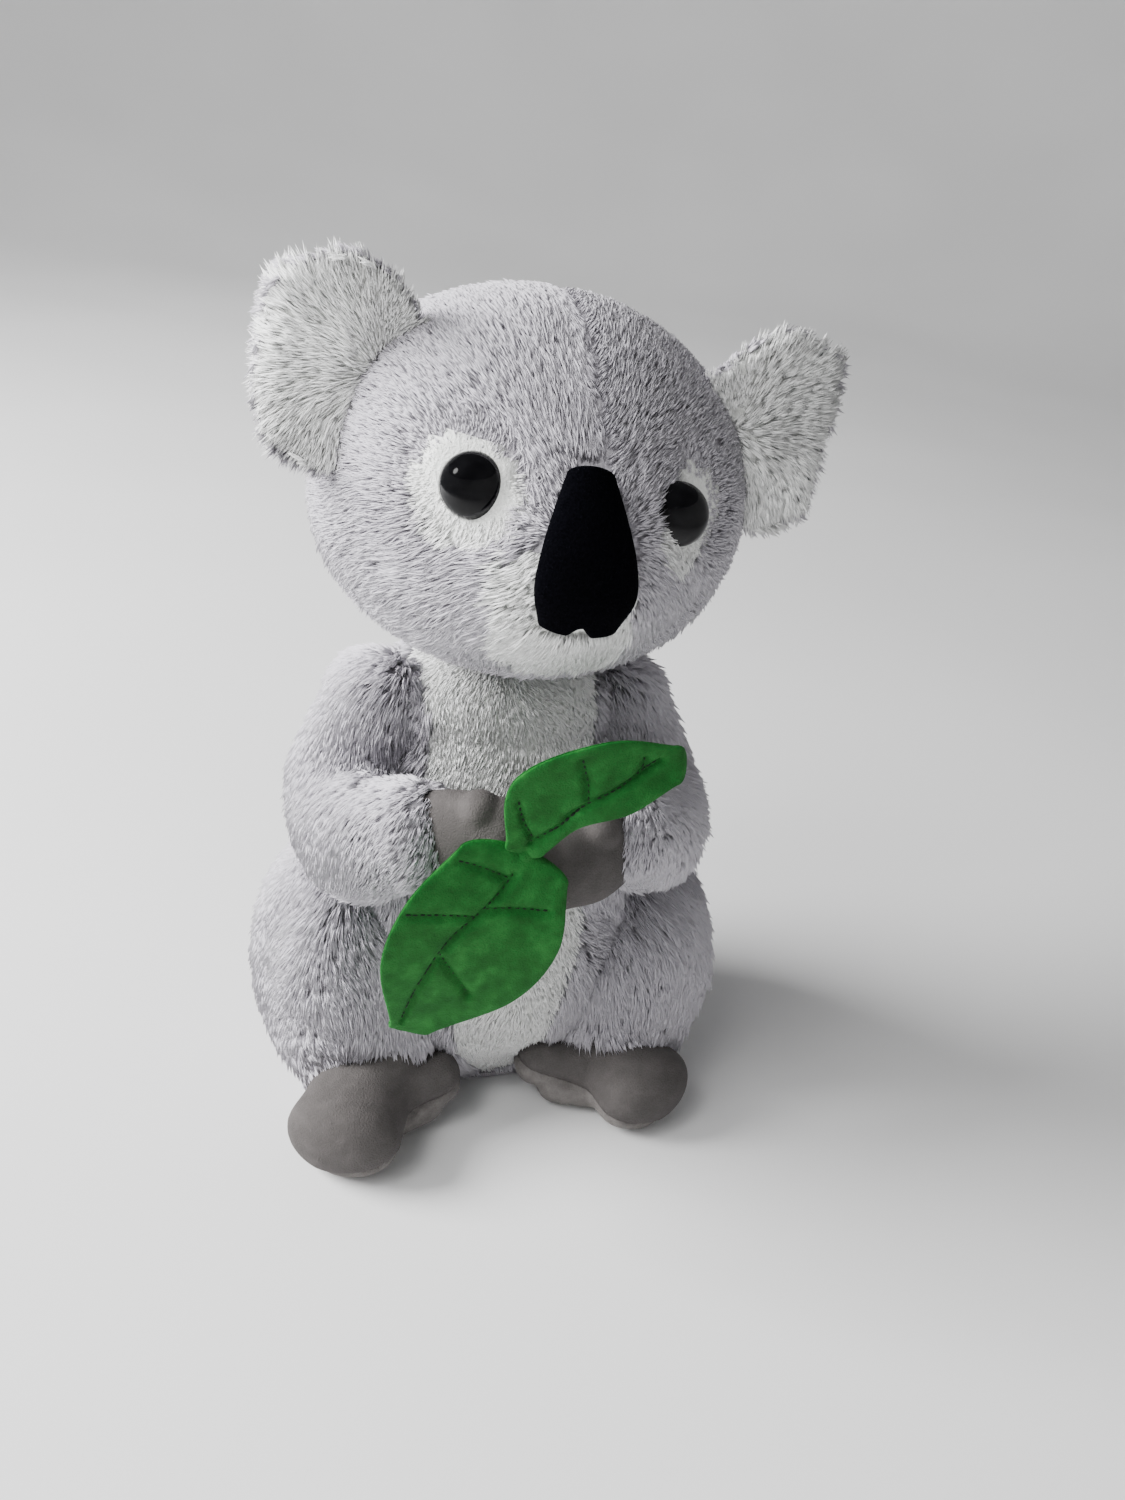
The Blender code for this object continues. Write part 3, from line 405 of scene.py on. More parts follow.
def minky(name, dark, middle, light, patch_size, halo):
    """Short nap that shows lighter and darker where it has been brushed."""
    made, tree, shader = nodes_of(name, {
        "Roughness": 0.85, "Specular IOR Level": 0.2, "Sheen Weight": halo, "Sheen Roughness": 0.35,
        "Sheen Tint": (*light, 1.0)})
    brushed = grain(tree, patch_size, 4.0)
    nap = grain(tree, 0.00055, 2.0)
    tone = ramp(tree, brushed, ((0.30, dark), (0.52, middle), (0.74, light)))
    fleck = ramp(tree, nap, ((0.25, (0.84, 0.84, 0.84)), (0.75, (1.08, 1.08, 1.08))))
    tree.links.new(blended(tree, 1.0, tone, fleck, "MULTIPLY"), shader.inputs["Base Color"])
    bumped(tree, shader, blended(tree, 0.35, nap, brushed), 0.0007, 0.75)
    return made


def velvet():
    made, tree, shader = nodes_of("black_velvet", {"Roughness": 0.9, "Specular IOR Level": 0.02})
    nap = grain(tree, 0.0006, 3.0)
    tree.links.new(ramp(tree, nap, ((0.3, (0.0006, 0.0006, 0.001)), (0.8, (0.0030, 0.0030, 0.0045)))),
                   shader.inputs["Base Color"])
    bumped(tree, shader, nap, 0.0005, 0.6)
    return made


def glossy(name, dark, light):
    """Moulded plastic of an eye, with a faint mottle deep in it and fine handling marks."""
    made, tree, shader = nodes_of(name, {"Specular IOR Level": 0.24})
    cloud = grain(tree, 0.004, 2.0)
    tree.links.new(ramp(tree, cloud, ((0.3, dark), (0.8, light))), shader.inputs["Base Color"])
    rough = tree.nodes.new("ShaderNodeMapRange")
    rough.inputs["To Min"].default_value = 0.05
    rough.inputs["To Max"].default_value = 0.13
    tree.links.new(grain(tree, 0.0012, 5.0), rough.inputs["Value"])
    tree.links.new(rough.outputs["Result"], shader.inputs["Roughness"])
    return made


def cloth(name, light, dark, thread):
    """Plain woven cloth with threads of this spacing."""
    made, tree, shader = nodes_of(name, {"Roughness": 0.9})
    warps = []
    for direction in ("X", "Y"):
        node = tree.nodes.new("ShaderNodeTexWave")
        node.bands_direction = direction
        node.inputs["Scale"].default_value = 1 / (thread * 3.2)
        node.inputs["Distortion"].default_value = 0.6
        tree.links.new(own_place(tree), node.inputs["Vector"])
        warps.append(node.outputs["Color"])
    weave = blended(tree, 0.5, warps[0], warps[1])
    tree.links.new(ramp(tree, weave, ((0.2, dark), (0.8, light))), shader.inputs["Base Color"])
    bumped(tree, shader, weave, 0.0004, 0.8)
    return made


# Forms

def in_order(bm):
    """The same form built again, with its faces in the same order each run."""
    bm.verts.index_update()
    spots = [vert.co.copy() for vert in bm.verts]
    rounds = []
    for face in bm.faces:
        corners = [vert.index for vert in face.verts]
        first = corners.index(min(corners))
        rounds.append(corners[first:] + corners[:first])
    bm.free()
    made = bmesh.new()
    verts = [made.verts.new(spot) for spot in spots]
    for corners in sorted(rounds):
        made.faces.new([verts[index] for index in corners])
    return made


def ball(faces, radius=1.0):
    bm = bmesh.new()
    bmesh.ops.create_uvsphere(bm, u_segments=faces[0], v_segments=faces[1], radius=radius)
    return in_order(bm)


def lathe(profile, steps):
    """Turned form about local Z, from a profile of radius and height that starts on the axis."""
    bm = bmesh.new()
    line = [bm.verts.new((radius, 0, height)) for radius, height in profile]
    edges = [bm.edges.new(pair) for pair in zip(line, line[1:])]
    bmesh.ops.spin(bm, geom=line + edges, cent=(0, 0, 0), axis=(0, 0, 1), angle=2 * math.pi, steps=steps,
                   use_merge=True)
    bmesh.ops.remove_doubles(bm, verts=bm.verts, dist=0.00001)
    return in_order(bm)


def outward(bm):
    """The form with its faces pointing out."""
    bmesh.ops.recalc_face_normals(bm, faces=bm.faces)
    if bm.calc_volume(signed=True) < 0:
        bmesh.ops.reverse_faces(bm, faces=bm.faces)
    bm.normal_update()
    return bm


def finished(bm, name, finish):
    """Object of a closed form, with its faces pointing out."""
    outward(bm)
    mesh = bpy.data.meshes.new(name)
    bm.to_mesh(mesh)
    bm.free()
    mesh.materials.append(finish)
    mesh.shade_smooth()
    made = bpy.data.objects.new(name, mesh)
    bpy.context.scene.collection.objects.link(made)
    return made


def along(values, share):
    """Value at a share of an evenly spaced table, on a smooth curve through its entries."""
    last = len(values) - 1
    spot = min(max(share, 0.0), 1.0) * last
    index = min(int(spot), last - 1)
    u = spot - index
    here, after = values[index], values[index + 1]
    before = values[index - 1] if index > 0 else here * 2 - after
    beyond = values[index + 2] if index + 2 <= last else after * 2 - here
    slope = (after - before) / 2
    bend = before - here * 2.5 + after * 2 - beyond / 2
    twist = (here * 3 - before - after * 3 + beyond) / 2
    return here + slope * u + bend * u ** 2 + twist * u ** 3


def shrunk(shares, size, sink=0.0):
    return [share * size - sink for share in shares]


def lean(height):
    return -TORSO_SIDE_LEAN * height / TORSO_HEIGHT


def beside_torso(route_shares, side):
    points = []
    for across, back, rise in route_shares:
        height = rise * TORSO_HEIGHT
        across_m = side * across * TORSO_HALF_WIDTH + lean(height)
        points.append(Vector((across_m, back * TORSO_HALF_DEPTH, height)))
    return points


def level_route(route_shares, height, side):
    return [Vector((side * across * TORSO_HALF_WIDTH, back * TORSO_HALF_DEPTH, height))
            for across, back in route_shares]


def on_floor(route_shares, heights, side):
    route = level_route(route_shares, 0.0, side)
    for index, spot in enumerate(route):
        spot.z = along(heights, index / (len(route) - 1)) - FUR_SINK
    return route


def axes_along(route, across):
    """Function that gives the directions ahead, wide and deep at a share of a route."""
    first = (along(route, NUDGE_SHARE) - route[0]).normalized()
    final = (route[-1] - along(route, 1 - NUDGE_SHARE)).normalized()

    def axes(share):
        ahead = first.lerp(final, share).normalized()
        wide = (across - ahead * across.dot(ahead)).normalized()
        return ahead, wide, ahead.cross(wide)
    return axes


def swollen(route, half_widths, half_depths, across, domes, faces, layer=0, cup=0.0, dent=None):
    """Stuffed form round a curved centre line, as the part makes it, at a finer grain.

    dent gives how far a layer's outer face sinks at a share of the length and of the width.
    """
    axes = axes_along(route, across)
    bm = ball(faces)
    for vert in bm.verts:
        ring = 1 - math.acos(max(-1.0, min(1.0, vert.co.z))) / math.pi
        reach = math.hypot(vert.co.x, vert.co.y)
        turn = vert.co.xy / reach if reach > NUDGE_SHARE else Vector((0, 0))
        if ring < DOME_SHARE:
            share, angle, sign, dome = 0.0, ring / DOME_SHARE * math.pi / 2, -1, domes[0]
        elif ring > 1 - DOME_SHARE:
            share, angle, sign, dome = 1.0, (1 - ring) / DOME_SHARE * math.pi / 2, 1, domes[1]
        else:
            share = (ring - DOME_SHARE) / (1 - 2 * DOME_SHARE)
            angle, sign, dome = math.pi / 2, 0, 0.0
        ahead, wide, deep = axes(share)
        swell = math.sin(angle)
        depth = turn.y * swell * along(half_depths, share)
        if layer:
            depth = layer * (max(depth * layer, 0.0) + GAP / 2)
        if dent is not None:
            depth -= math.copysign(dent(share, turn.x * swell), depth) * abs(turn.y) * swell
        depth += cup * (turn.x * swell) ** 2
        centre = along(route, share) + ahead * sign * dome * math.cos(angle)
        vert.co = centre + wide * turn.x * swell * along(half_widths, share) + deep * depth
    return bm


def lobe(route, radius, across, dome):
    """Round stuffed finger or toe."""
    return swollen(route, (radius, radius), (radius, radius), across, (dome, dome), LOBE_FACES)


def vein_dent(veins, span, half_widths):
    """How far the stitches pull a leaf's face in, from the distance to its veins."""
    pairs = []
    for vein in veins:
        line = [Vector((along(half_widths, share) * across, share * span, 0)) for share, across in vein]
        pairs += list(zip(line, line[1:]))

    def dent(share, across):
        spot = Vector((along(half_widths, share) * across, share * span, 0))
        reach = VEIN_SPREAD * 3
        for start, end in pairs:
            near, part = intersect_point_line(spot, start, end)
            part = min(max(part, 0.0), 1.0)
            reach = min(reach, (start.lerp(end, part) - spot).length)
        return VEIN_DEPTH * math.exp(-(reach / VEIN_SPREAD) ** 2)
    return dent


def stitches(route, half_widths, depth, across, veins, span, layer, dent):
    """Short threads laid along the veins of one leaf face."""
    axes = axes_along(route, across)

    def on_leaf(share, part):
        _, wide, deep = axes(share)
        swell = math.sqrt(max(1 - part * part, 0.0))
        high = layer * (swell * depth + GAP / 2 - dent(share, part) * swell)
        spot = along(route, share) + wide * part * along(half_widths, share)
        return spot + deep * (high + LEAF_CUP * part * part), deep * layer

    bm = bmesh.new()
    size = Matrix.Diagonal((STITCH_RADIUS, STITCH_HALF_LENGTH, STITCH_RADIUS, 1))
    for vein in veins:
        spots = [on_leaf(*(along(column, step / VEIN_STEPS) for column in zip(*vein)))
                 for step in range(VEIN_STEPS + 1)]
        walked, due = 0.0, STITCH_STEP / 2
        for (here, out), (there, _) in zip(spots, spots[1:]):
            walked += (there - here).length
            if walked < due:
                continue
            due += STITCH_STEP
            ahead = (there - here).normalized()
            side = ahead.cross(out).normalized()
            turn = Matrix((side, ahead, side.cross(ahead))).transposed().to_4x4()
            made = bmesh.ops.create_uvsphere(bm, u_segments=6, v_segments=5, radius=1)
            bmesh.ops.transform(bm, matrix=Matrix.Translation(here) @ turn @ size, verts=made["verts"])
    return bm


def face_bulge(x, z):
    x += HEAD_SIDE
    muzzle = (x / MUZZLE_SPREAD_WIDTH) ** 2 + ((z + MUZZLE_DROP) / MUZZLE_SPREAD_HEIGHT) ** 2
    cheek = ((abs(x) - CHEEK_SPACING) / CHEEK_SPREAD) ** 2 + ((z + CHEEK_DROP) / CHEEK_SPREAD) ** 2
    return MUZZLE_BULGE * math.exp(-muzzle / 2) + CHEEK_BULGE * math.exp(-cheek / 2)


def on_face(x, z):
    x -= HEAD_SIDE
    inside = 1 - (x / HEAD_HALF_WIDTH) ** 2 - (z / HEAD_HALF_HEIGHT) ** 2
    return Vector((x, -HEAD_HALF_DEPTH * math.sqrt(max(inside, 0.0)) - face_bulge(x, z), z))


def face_frame(x, z, sink=0.0):
    step = HEAD_HALF_WIDTH * NUDGE_SHARE
    sideways = on_face(x + step, z) - on_face(x - step, z)
    out = sideways.cross(on_face(x, z + step) - on_face(x, z - step))
    turn = out.to_track_quat("Z", "Y").to_matrix().to_4x4()
    return HEAD_FRAME @ Matrix.Translation(on_face(x, z) - out.normalized() * sink) @ turn


def head_form():
    bm = ball(HEAD_FACES)
    bmesh.ops.scale(bm, vec=(HEAD_HALF_WIDTH, HEAD_HALF_DEPTH, HEAD_HALF_HEIGHT), verts=bm.verts)
    for vert in bm.verts:
        if vert.co.y < 0:
            ease = math.sqrt(min(1.0, -vert.co.y / HEAD_HALF_DEPTH))
            vert.co.y -= face_bulge(vert.co.x, vert.co.z) * ease
    for heading, spread, rise in HEAD_SWELLS:
        aim = Vector(heading).normalized()
        for vert in bm.verts:
            off = (vert.co.normalized() - aim).length
            vert.co += vert.co.normalized() * rise * math.exp(-(off / spread) ** 2)
    bmesh.ops.transform(bm, matrix=HEAD_FRAME, verts=bm.verts)
    return sunk(bm, PILE_SINK)


def sunk(bm, depth):
    """The form a pile's depth smaller."""
    outward(bm)
    moves = [(vert, vert.normal.copy()) for vert in bm.verts]
    for vert, out in moves:
        vert.co -= out * depth
    return bm


def seated(bm, low):
    """The form with its underside flat on the floor."""
    for vert in bm.verts:
        vert.co.z = max(vert.co.z, low)
    return bm


def torso_form():
    last = len(TORSO_WIDTH_SHARES) - 1
    low, high = TORSO_BASE_DOME - FUR_SINK, TORSO_HEIGHT - TORSO_TOP_DOME
    rises = [low + (high - low) * index / last for index in range(last + 1)]
    route = [Vector((lean(rise), -TORSO_FRONT_LEAN * (rise / TORSO_HEIGHT) ** 2, rise)) for rise in rises]
    return swollen(route, shrunk(TORSO_WIDTH_SHARES, TORSO_HALF_WIDTH, PILE_SINK),
                   shrunk(TORSO_DEPTH_SHARES, TORSO_HALF_DEPTH, PILE_SINK), ACROSS,
                   (TORSO_BASE_DOME, TORSO_TOP_DOME - PILE_SINK), TORSO_FACES)


def arm_form(side):
    return swollen(beside_torso(ARM_ROUTE_SHARES, side), shrunk(ARM_WIDTH_SHARES, ARM_RADIUS, PILE_SINK),
                   shrunk(ARM_DEPTH_SHARES, ARM_RADIUS, PILE_SINK), Vector((side, side, 0)),
                   (ARM_DOME - PILE_SINK, ARM_DOME - PILE_SINK), LIMB_FACES)


def leg_form(side):
    return swollen(on_floor(LEG_ROUTE_SHARES, shrunk(LEG_HEIGHT_SHARES, LEG_HALF_HEIGHT), side),
                   shrunk(LEG_WIDTH_SHARES, LEG_HALF_WIDTH, PILE_SINK),
                   shrunk(LEG_HEIGHT_SHARES, LEG_HALF_HEIGHT, PILE_SINK), ACROSS,
                   (LEG_DOME - PILE_SINK, LEG_DOME - PILE_SINK), LIMB_FACES)


def ear_route(side):
    root = Vector((side * EAR_ROOT_SPREAD, -EAR_ROOT_FORWARD, EAR_ROOT_RISE))
    return [HEAD_FRAME @ (root + Vector((side * out, -ahead, up)) * EAR_LENGTH)
            for out, ahead, up in EAR_ROUTE_SHARES]


def ear_form(side, layer=0):
    thickness = EAR_THICKNESS - EAR_PILE_SINK
    return swollen(ear_route(side), shrunk(EAR_HEIGHT_SHARES, EAR_HALF_HEIGHT, EAR_PILE_SINK),
                   (thickness, thickness), HEAD_TURN @ UP * side,
                   (EAR_ROOT_DOME, EAR_TIP_DOME - EAR_PILE_SINK), LIMB_FACES, layer, EAR_CUP)


# The pile

def unit(vectors):
    return vectors / np.maximum(np.linalg.norm(vectors, axis=1, keepdims=True), 1e-9)


def smooth(values, low, high):
    share = np.clip((values - low) / (high - low), 0, 1)
    return share * share * (3 - 2 * share)


def ripples(points, size, seed):
    """Smooth seeded noise, mostly from -1 to 1, with swells of about four times this size."""
    count = 9
    dice = np.random.default_rng(seed)
    waves = dice.normal(size=(count, 3)) / size
    starts = dice.uniform(0, 2 * np.pi, count)
    return np.sin(points @ waves.T + starts).sum(1) / math.sqrt(count)


def combed(flow, normals, angle):
    """Directions along the skin, turned in it by an angle."""
    flat = unit(flow - normals * (flow * normals).sum(1, keepdims=True))
    return flat * np.cos(angle)[:, None] + np.cross(normals, flat) * np.sin(angle)[:, None]


def thinned(points, distance):
    """Indices of points that keep a distance from each other."""
    kept, cells = [], {}
    steps = [(i, j, k) for i in (-1, 0, 1) for j in (-1, 0, 1) for k in (-1, 0, 1)]
    homes = np.floor(points / distance).astype(int).tolist()
    places = points.tolist()
    for index, (x, y, z) in enumerate(homes):
        a, b, c = places[index]
        crowded = False
        for i, j, k in steps:
            for d, e, f in cells.get((x + i, y + j, z + k), ()):
                if (a - d) ** 2 + (b - e) ** 2 + (c - f) ** 2 < distance ** 2:
                    crowded = True
                    break
            if crowded:
                break
        if not crowded:
            cells.setdefault((x, y, z), []).append((a, b, c))
            kept.append(index)
    return np.array(kept)


def tufts_on(bm, spacing, dice):
    """Evenly spread places on a form, with the form's normals there."""
    copy = bm.copy()
    bmesh.ops.triangulate(copy, faces=copy.faces)
    copy.normal_update()
    copy.verts.ensure_lookup_table()
    spots = np.array([vert.co for vert in copy.verts])
    tilts = np.array([vert.normal for vert in copy.verts])
    corners = np.array([[vert.index for vert in face.verts] for face in copy.faces])
    copy.free()
    a, b, c = (spots[corners[:, corner]] for corner in range(3))
    areas = np.linalg.norm(np.cross(b - a, c - a), axis=1) / 2
    count = int(areas.sum() / spacing ** 2 * 3)
    chosen = dice.choice(len(areas), count, p=areas / areas.sum())
    u, v = dice.random((2, count))
    outside = u + v > 1
    u[outside], v[outside] = 1 - u[outside], 1 - v[outside]
    weights = np.stack((1 - u - v, u, v), 1)[:, :, None]
    points = (spots[corners[chosen]] * weights).sum(1)
    normals = unit((tilts[corners[chosen]] * weights).sum(1))
    kept = thinned(points, spacing)
    return points[kept], normals[kept]


def buried(points, trees, depth):
    """Which points lie deeper than this inside another form."""
    hidden = np.zeros(len(points), bool)
    for tree in trees:
        for index, point in enumerate(points):
            if hidden[index]:
                continue
            spot, out, _, reach = tree.find_nearest(point)
            if spot is not None and reach > depth and (Vector(point) - spot).dot(out) < 0:
                hidden[index] = True
    return hidden


def blades(name, coat, count, dice, finish):
    """Pile pieces: tapered blades in tufts, each blade bent once and lying along the coat.

    coat is a table of the tufts: place, normal, flow, length, lift, shade, spread and gather.
    """
    total = len(coat["place"])
    which = np.repeat(np.arange(total), count)
    place, out, flow = (coat[key][which] for key in ("place", "normal", "flow"))
    side = np.cross(out, flow)
    amount = len(which)
    radius = coat["spread"][which] * np.sqrt(dice.random(amount))
    angle = dice.uniform(0, 2 * np.pi, amount)
    offset = flow * (radius * np.cos(angle))[:, None] + side * (radius * np.sin(angle))[:, None]
    length = (coat["length"][which] * dice.uniform(0.72, 1.12, amount))[:, None]
    lift = coat["lift"][which] + dice.normal(0, 0.07, amount)
    swing = dice.normal(0, 0.13, amount)[:, None]
    ahead = unit(flow + side * swing)
    first, last = lift + BLADE_RISE, lift - BLADE_FALL
    rise = ahead * np.cos(first)[:, None] + out * np.sin(first)[:, None]
    fall = ahead * np.cos(last)[:, None] + out * np.sin(last)[:, None]
    root = place + offset
    gather = coat["gather"][which][:, None]
    middle = root + rise * length * 0.5 - offset * gather * 0.4
    tip = middle + fall * length * 0.5 - offset * gather * 0.6
    roll = dice.normal(0, 0.45, amount)[:, None]
    across = unit(np.cross(ahead, out)) * np.cos(roll) + out * np.sin(roll)
    half = BLADE_WIDTH * dice.uniform(0.75, 1.25, amount)[:, None] / 2
    corners = np.stack((root, middle - across * half, middle + across * half, tip), 1)
    corners[:, :, 2] = np.maximum(corners[:, :, 2], BLADE_LOWEST)
    shade = np.clip(coat["shade"][which] + dice.normal(0, 0.07, amount), 0.01, 0.99)
    pieces = []
    parts = max(1, math.ceil(amount / PIECE_BLADES))
    order = np.argsort(place[:, 0] - place[:, 1] * 0.3, kind="stable")
    for part, chosen in enumerate(np.array_split(order, parts)):
        label = name if parts == 1 else f"{name}_{part + 1}"
        pieces.append(blade_mesh(label, corners[chosen], shade[chosen], finish))
    return pieces


def blade_mesh(name, corners, shade, finish):
    """Closed slim grains of pile, each with a root, a bend of two corners and a tip."""
    amount = len(corners)
    mesh = bpy.data.meshes.new(name)
    mesh.vertices.add(amount * 4)
    mesh.vertices.foreach_set("co", corners.astype(np.float32).ravel())
    pattern = np.array((0, 2, 1, 3, 1, 2, 0, 1, 3, 0, 3, 2))
    loops = (np.arange(amount)[:, None] * 4 + pattern).ravel()
    mesh.loops.add(amount * 12)
    mesh.loops.foreach_set("vertex_index", loops.astype(np.int32))
    mesh.polygons.add(amount * 4)
    mesh.polygons.foreach_set("loop_start", np.arange(0, amount * 12, 3, dtype=np.int32))
    mesh.update(calc_edges=True)
    chart = mesh.uv_layers.new(name="OFBake")
    heights = np.array((0.02, 0.5, 0.5, 0.98))[pattern]
    places = np.stack((np.repeat(shade, 12), np.tile(heights, amount)), 1)
    chart.data.foreach_set("uv", places.astype(np.float32).ravel())
    mesh.materials.append(finish)
    mesh.shade_smooth()
    made = bpy.data.objects.new(name, mesh)
    bpy.context.scene.collection.objects.link(made)
    return made


def coat_table(place, normal, flow, length, lift, shade, spread=0.0014, gather=0.34):
    """One row for each tuft. Lengths are in metres, and lift is in radians from the skin."""
    full = np.ones(len(place))
    return {"place": place, "normal": normal, "flow": flow, "length": full * length, "lift": full * lift,
            "shade": full * shade, "spread": full * spread, "gather": full * gather}


def rows(coat, chosen):
    return {key: values[chosen] for key, values in coat.items()}


# Finishes

# The roots are darker than the tips: partly frosted tips, partly painted shade deep in the pile.
GREY_FUR = fur("grey_pile", (0.52, 0.50, 0.54), (0.575, 0.555, 0.60), (0.64, 0.615, 0.67),
               (0.81, 0.805, 0.82), 0.25)
WHITE_FUR = fur("white_pile", (0.93, 0.94, 0.92), (0.96, 0.965, 0.95), (0.98, 0.98, 0.97),
                (0.90, 0.915, 0.895), 0.6)
GREY_BACKING = backing("grey_backing", (0.58, 0.56, 0.60), (0.46, 0.44, 0.48))
WHITE_BACKING = backing("white_backing", (0.90, 0.91, 0.88), (0.78, 0.79, 0.76))
GREY_MINKY = minky("grey_minky", (0.078, 0.072, 0.070), (0.088, 0.081, 0.079), (0.104, 0.096, 0.093),
                   0.005, 0.22)
SOLE_MINKY = minky("sole_minky", (0.135, 0.126, 0.121), (0.170, 0.158, 0.152), (0.215, 0.202, 0.195),
                   0.005, 0.3)
GREEN_MINKY = minky("green_minky", (0.008, 0.080, 0.013), (0.013, 0.118, 0.020), (0.024, 0.172, 0.033),
                    0.0060, 0.34)
BLACK_VELVET = velvet()
EYE_PLASTIC = glossy("eye_plastic", (0.0015, 0.0015, 0.002), (0.006, 0.006, 0.007))
WASHER_PLASTIC = glossy("washer_plastic", (0.55, 0.55, 0.54), (0.7, 0.7, 0.69))
BASE_CLOTH = cloth("base_cloth", (0.44, 0.42, 0.45), (0.30, 0.28, 0.31), 0.0008)
POUCH_CLOTH = cloth("pouch_cloth", (0.76, 0.74, 0.69), (0.60, 0.58, 0.53), 0.0007)
SPRIG_THREAD = cloth("sprig_thread", (0.003, 0.024, 0.007), (0.002, 0.013, 0.004), 0.0003)
SEAM_THREAD = cloth("seam_thread", (0.48, 0.46, 0.50), (0.30, 0.29, 0.32), 0.0004)
PILES = {"grey_plush": GREY_FUR, "white_plush": WHITE_FUR}

set_camera()
set_studio()

forms = {"torso": seated(torso_form(), CLOTH_LOWEST), "head": head_form()}
for each_name, each_side in SIDES:
    forms["arm_" + each_name] = arm_form(each_side)
    forms["leg_" + each_name] = seated(leg_form(each_side), CLOTH_LOWEST)
    forms["ear_" + each_name] = ear_form(each_side)
trees = {name: BVHTree.FromBMesh(outward(form)) for name, form in forms.items()}


def placed(made, body, node=None):
    """A piece put on its body, and the node that it stands for hidden."""
    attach(made, body)
    if node:
        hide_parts(node)


def skin(name, body):
    """The stuffed cloth under the pile, which stands for the part's own solid."""
    made = finished(forms[name].copy(), name + "_cloth", GREY_BACKING)
    placed(made, body, name)


def grow(name, coat, count, dice, body, slot):
    for piece in blades(name, coat, count, dice, PILES[slot]):
        placed(piece, body)


def belly_half(height):
    low, high = SEAT_HALF_DEPTH, TORSO_HEIGHT - TORSO_TOP_DOME / 2
    heights = np.linspace(low, high, len(BELLY_HALF_WIDTHS))
    wide = np.interp(height, heights, BELLY_HALF_WIDTHS)
    under = np.clip((height - BELLY_LOW) / (low - BELLY_LOW), 0, 1)
    return wide * np.sqrt(1 - (1 - under) ** 2)


def on_belly(points):
    across = np.abs(points[:, 0] + TORSO_SIDE_LEAN * points[:, 2] / TORSO_HEIGHT)
    return (points[:, 1] < 0) & (across < belly_half(points[:, 2]))


def torso_coat(points, normals, dice):
    down = np.tile((0.0, 0.0, -1.0), (len(points), 1))
    down[:, :2] += unit(points * (1, 1, 0))[:, :2] * 0.35
    white = on_belly(points)
    turn = 0.40 * ripples(points, 0.009, 11) + 0.10 * ripples(points, 0.003, 12)
    low = 1 - smooth(points[:, 2], 0.004, 0.020)
    length = np.where(white, BIB_PILE - 0.0006 * low, TORSO_PILE) * (1 + 0.10 * ripples(points, 0.004, 13))
    shade = np.where(white, 0.72 + 0.10 * ripples(points, 0.0016, 14),
                     0.62 + 0.12 * ripples(points, 0.004, 15) + dice.normal(0, 0.07, len(points)))
    table = coat_table(points, normals, combed(down, normals, turn), length, FUR_LIFT, shade,
                       spread=np.where(white, 0.0021, 0.0014), gather=np.where(white, 0.02, 0.32))
    return table, white


def seat_area(points):
    inside = (points[:, 0] / SEAT_HALF_WIDTH) ** 2 + (points[:, 1] / SEAT_HALF_DEPTH) ** 2 < 1
    return inside & (points[:, 2] < 0.004)


def dress_torso():
    dice = np.random.default_rng(1)
    skin("torso", "torso")
    points, normals = tufts_on(forms["torso"], TORSO_TUFT_SPACING, dice)
    others = [trees[key] for key in ("head", "arm_right", "arm_left", "leg_right", "leg_left")]
    keep = ~seat_area(points) & ~buried(points, others, BURIED_DEPTH)
    table, white = torso_coat(points[keep], normals[keep], dice)
    grow("back_fur", rows(table, ~white), 16, dice, "torso", "grey_plush")
    grow("bib_fur", rows(table, white), 18, dice, "torso", "white_plush")
    panel_piece("torso", "belly_cloth", on_belly, "belly_panel")


def panel_piece(body, name, inside, node):
    """White cloth let into a form: the form's faces in a region, as a thin closed sheet."""
    bm = forms[body].copy()
    outside = [face for face in bm.faces if not inside(np.array([face.calc_center_median()]))[0]]
    bmesh.ops.delete(bm, geom=outside, context="FACES")
    sunk(bm, -PANEL_PROUD)
    bmesh.ops.solidify(bm, geom=list(bm.faces), thickness=PANEL_THICKNESS)
    placed(finished(bm, name, WHITE_BACKING), body, node)


INTO_HEAD = np.array(HEAD_FRAME.inverted())
CHIN_FRAME = np.array((HEAD_FRAME.inverted() @ face_frame(0.0, -CHIN_DROP)).inverted())


def head_places(points):
    return points @ INTO_HEAD[:3, :3].T + INTO_HEAD[:3, 3]


def on_chin(spots):
    local = spots @ CHIN_FRAME[:3, :3].T + CHIN_FRAME[:3, 3]
    rise = (local[:, 1] - CHIN_LIFT) / (CHIN_HALF_HEIGHT + CHIN_LIFT)
    oval = np.abs(local[:, 0] / CHIN_HALF_WIDTH) ** 3 + np.abs(rise) ** 3
    return (oval < 1) & (local[:, 2] > -0.02)


def on_chin_pile(spots):
    """The white pile under the nose, which leans a little to one side of its panel."""
    leaning = spots.copy()
    leaning[:, 0] = (spots[:, 0] + 0.27 * (spots[:, 2] + 0.019)) * CHIN_HALF_WIDTH / CHIN_PILE_HALF_WIDTH
    return on_chin(leaning)


def eye_reach(spots, side, spacing=EYE_SPACING, rise=EYE_RISE):
    return np.hypot(spots[:, 0] - side * spacing, spots[:, 2] - rise)


def nose_half(height):
    heights = np.linspace(-NOSE_BOTTOM_DROP, NOSE_TOP_RISE, len(NOSE_WIDTH_SHARES))
    wide = np.interp(height, heights, NOSE_WIDTH_SHARES) * NOSE_HALF_WIDTH
    ended = (height < -NOSE_BOTTOM_DROP - NOSE_END_DOME) | (height > NOSE_TOP_RISE + NOSE_END_DOME)
    return np.where(ended, -1.0, wide)


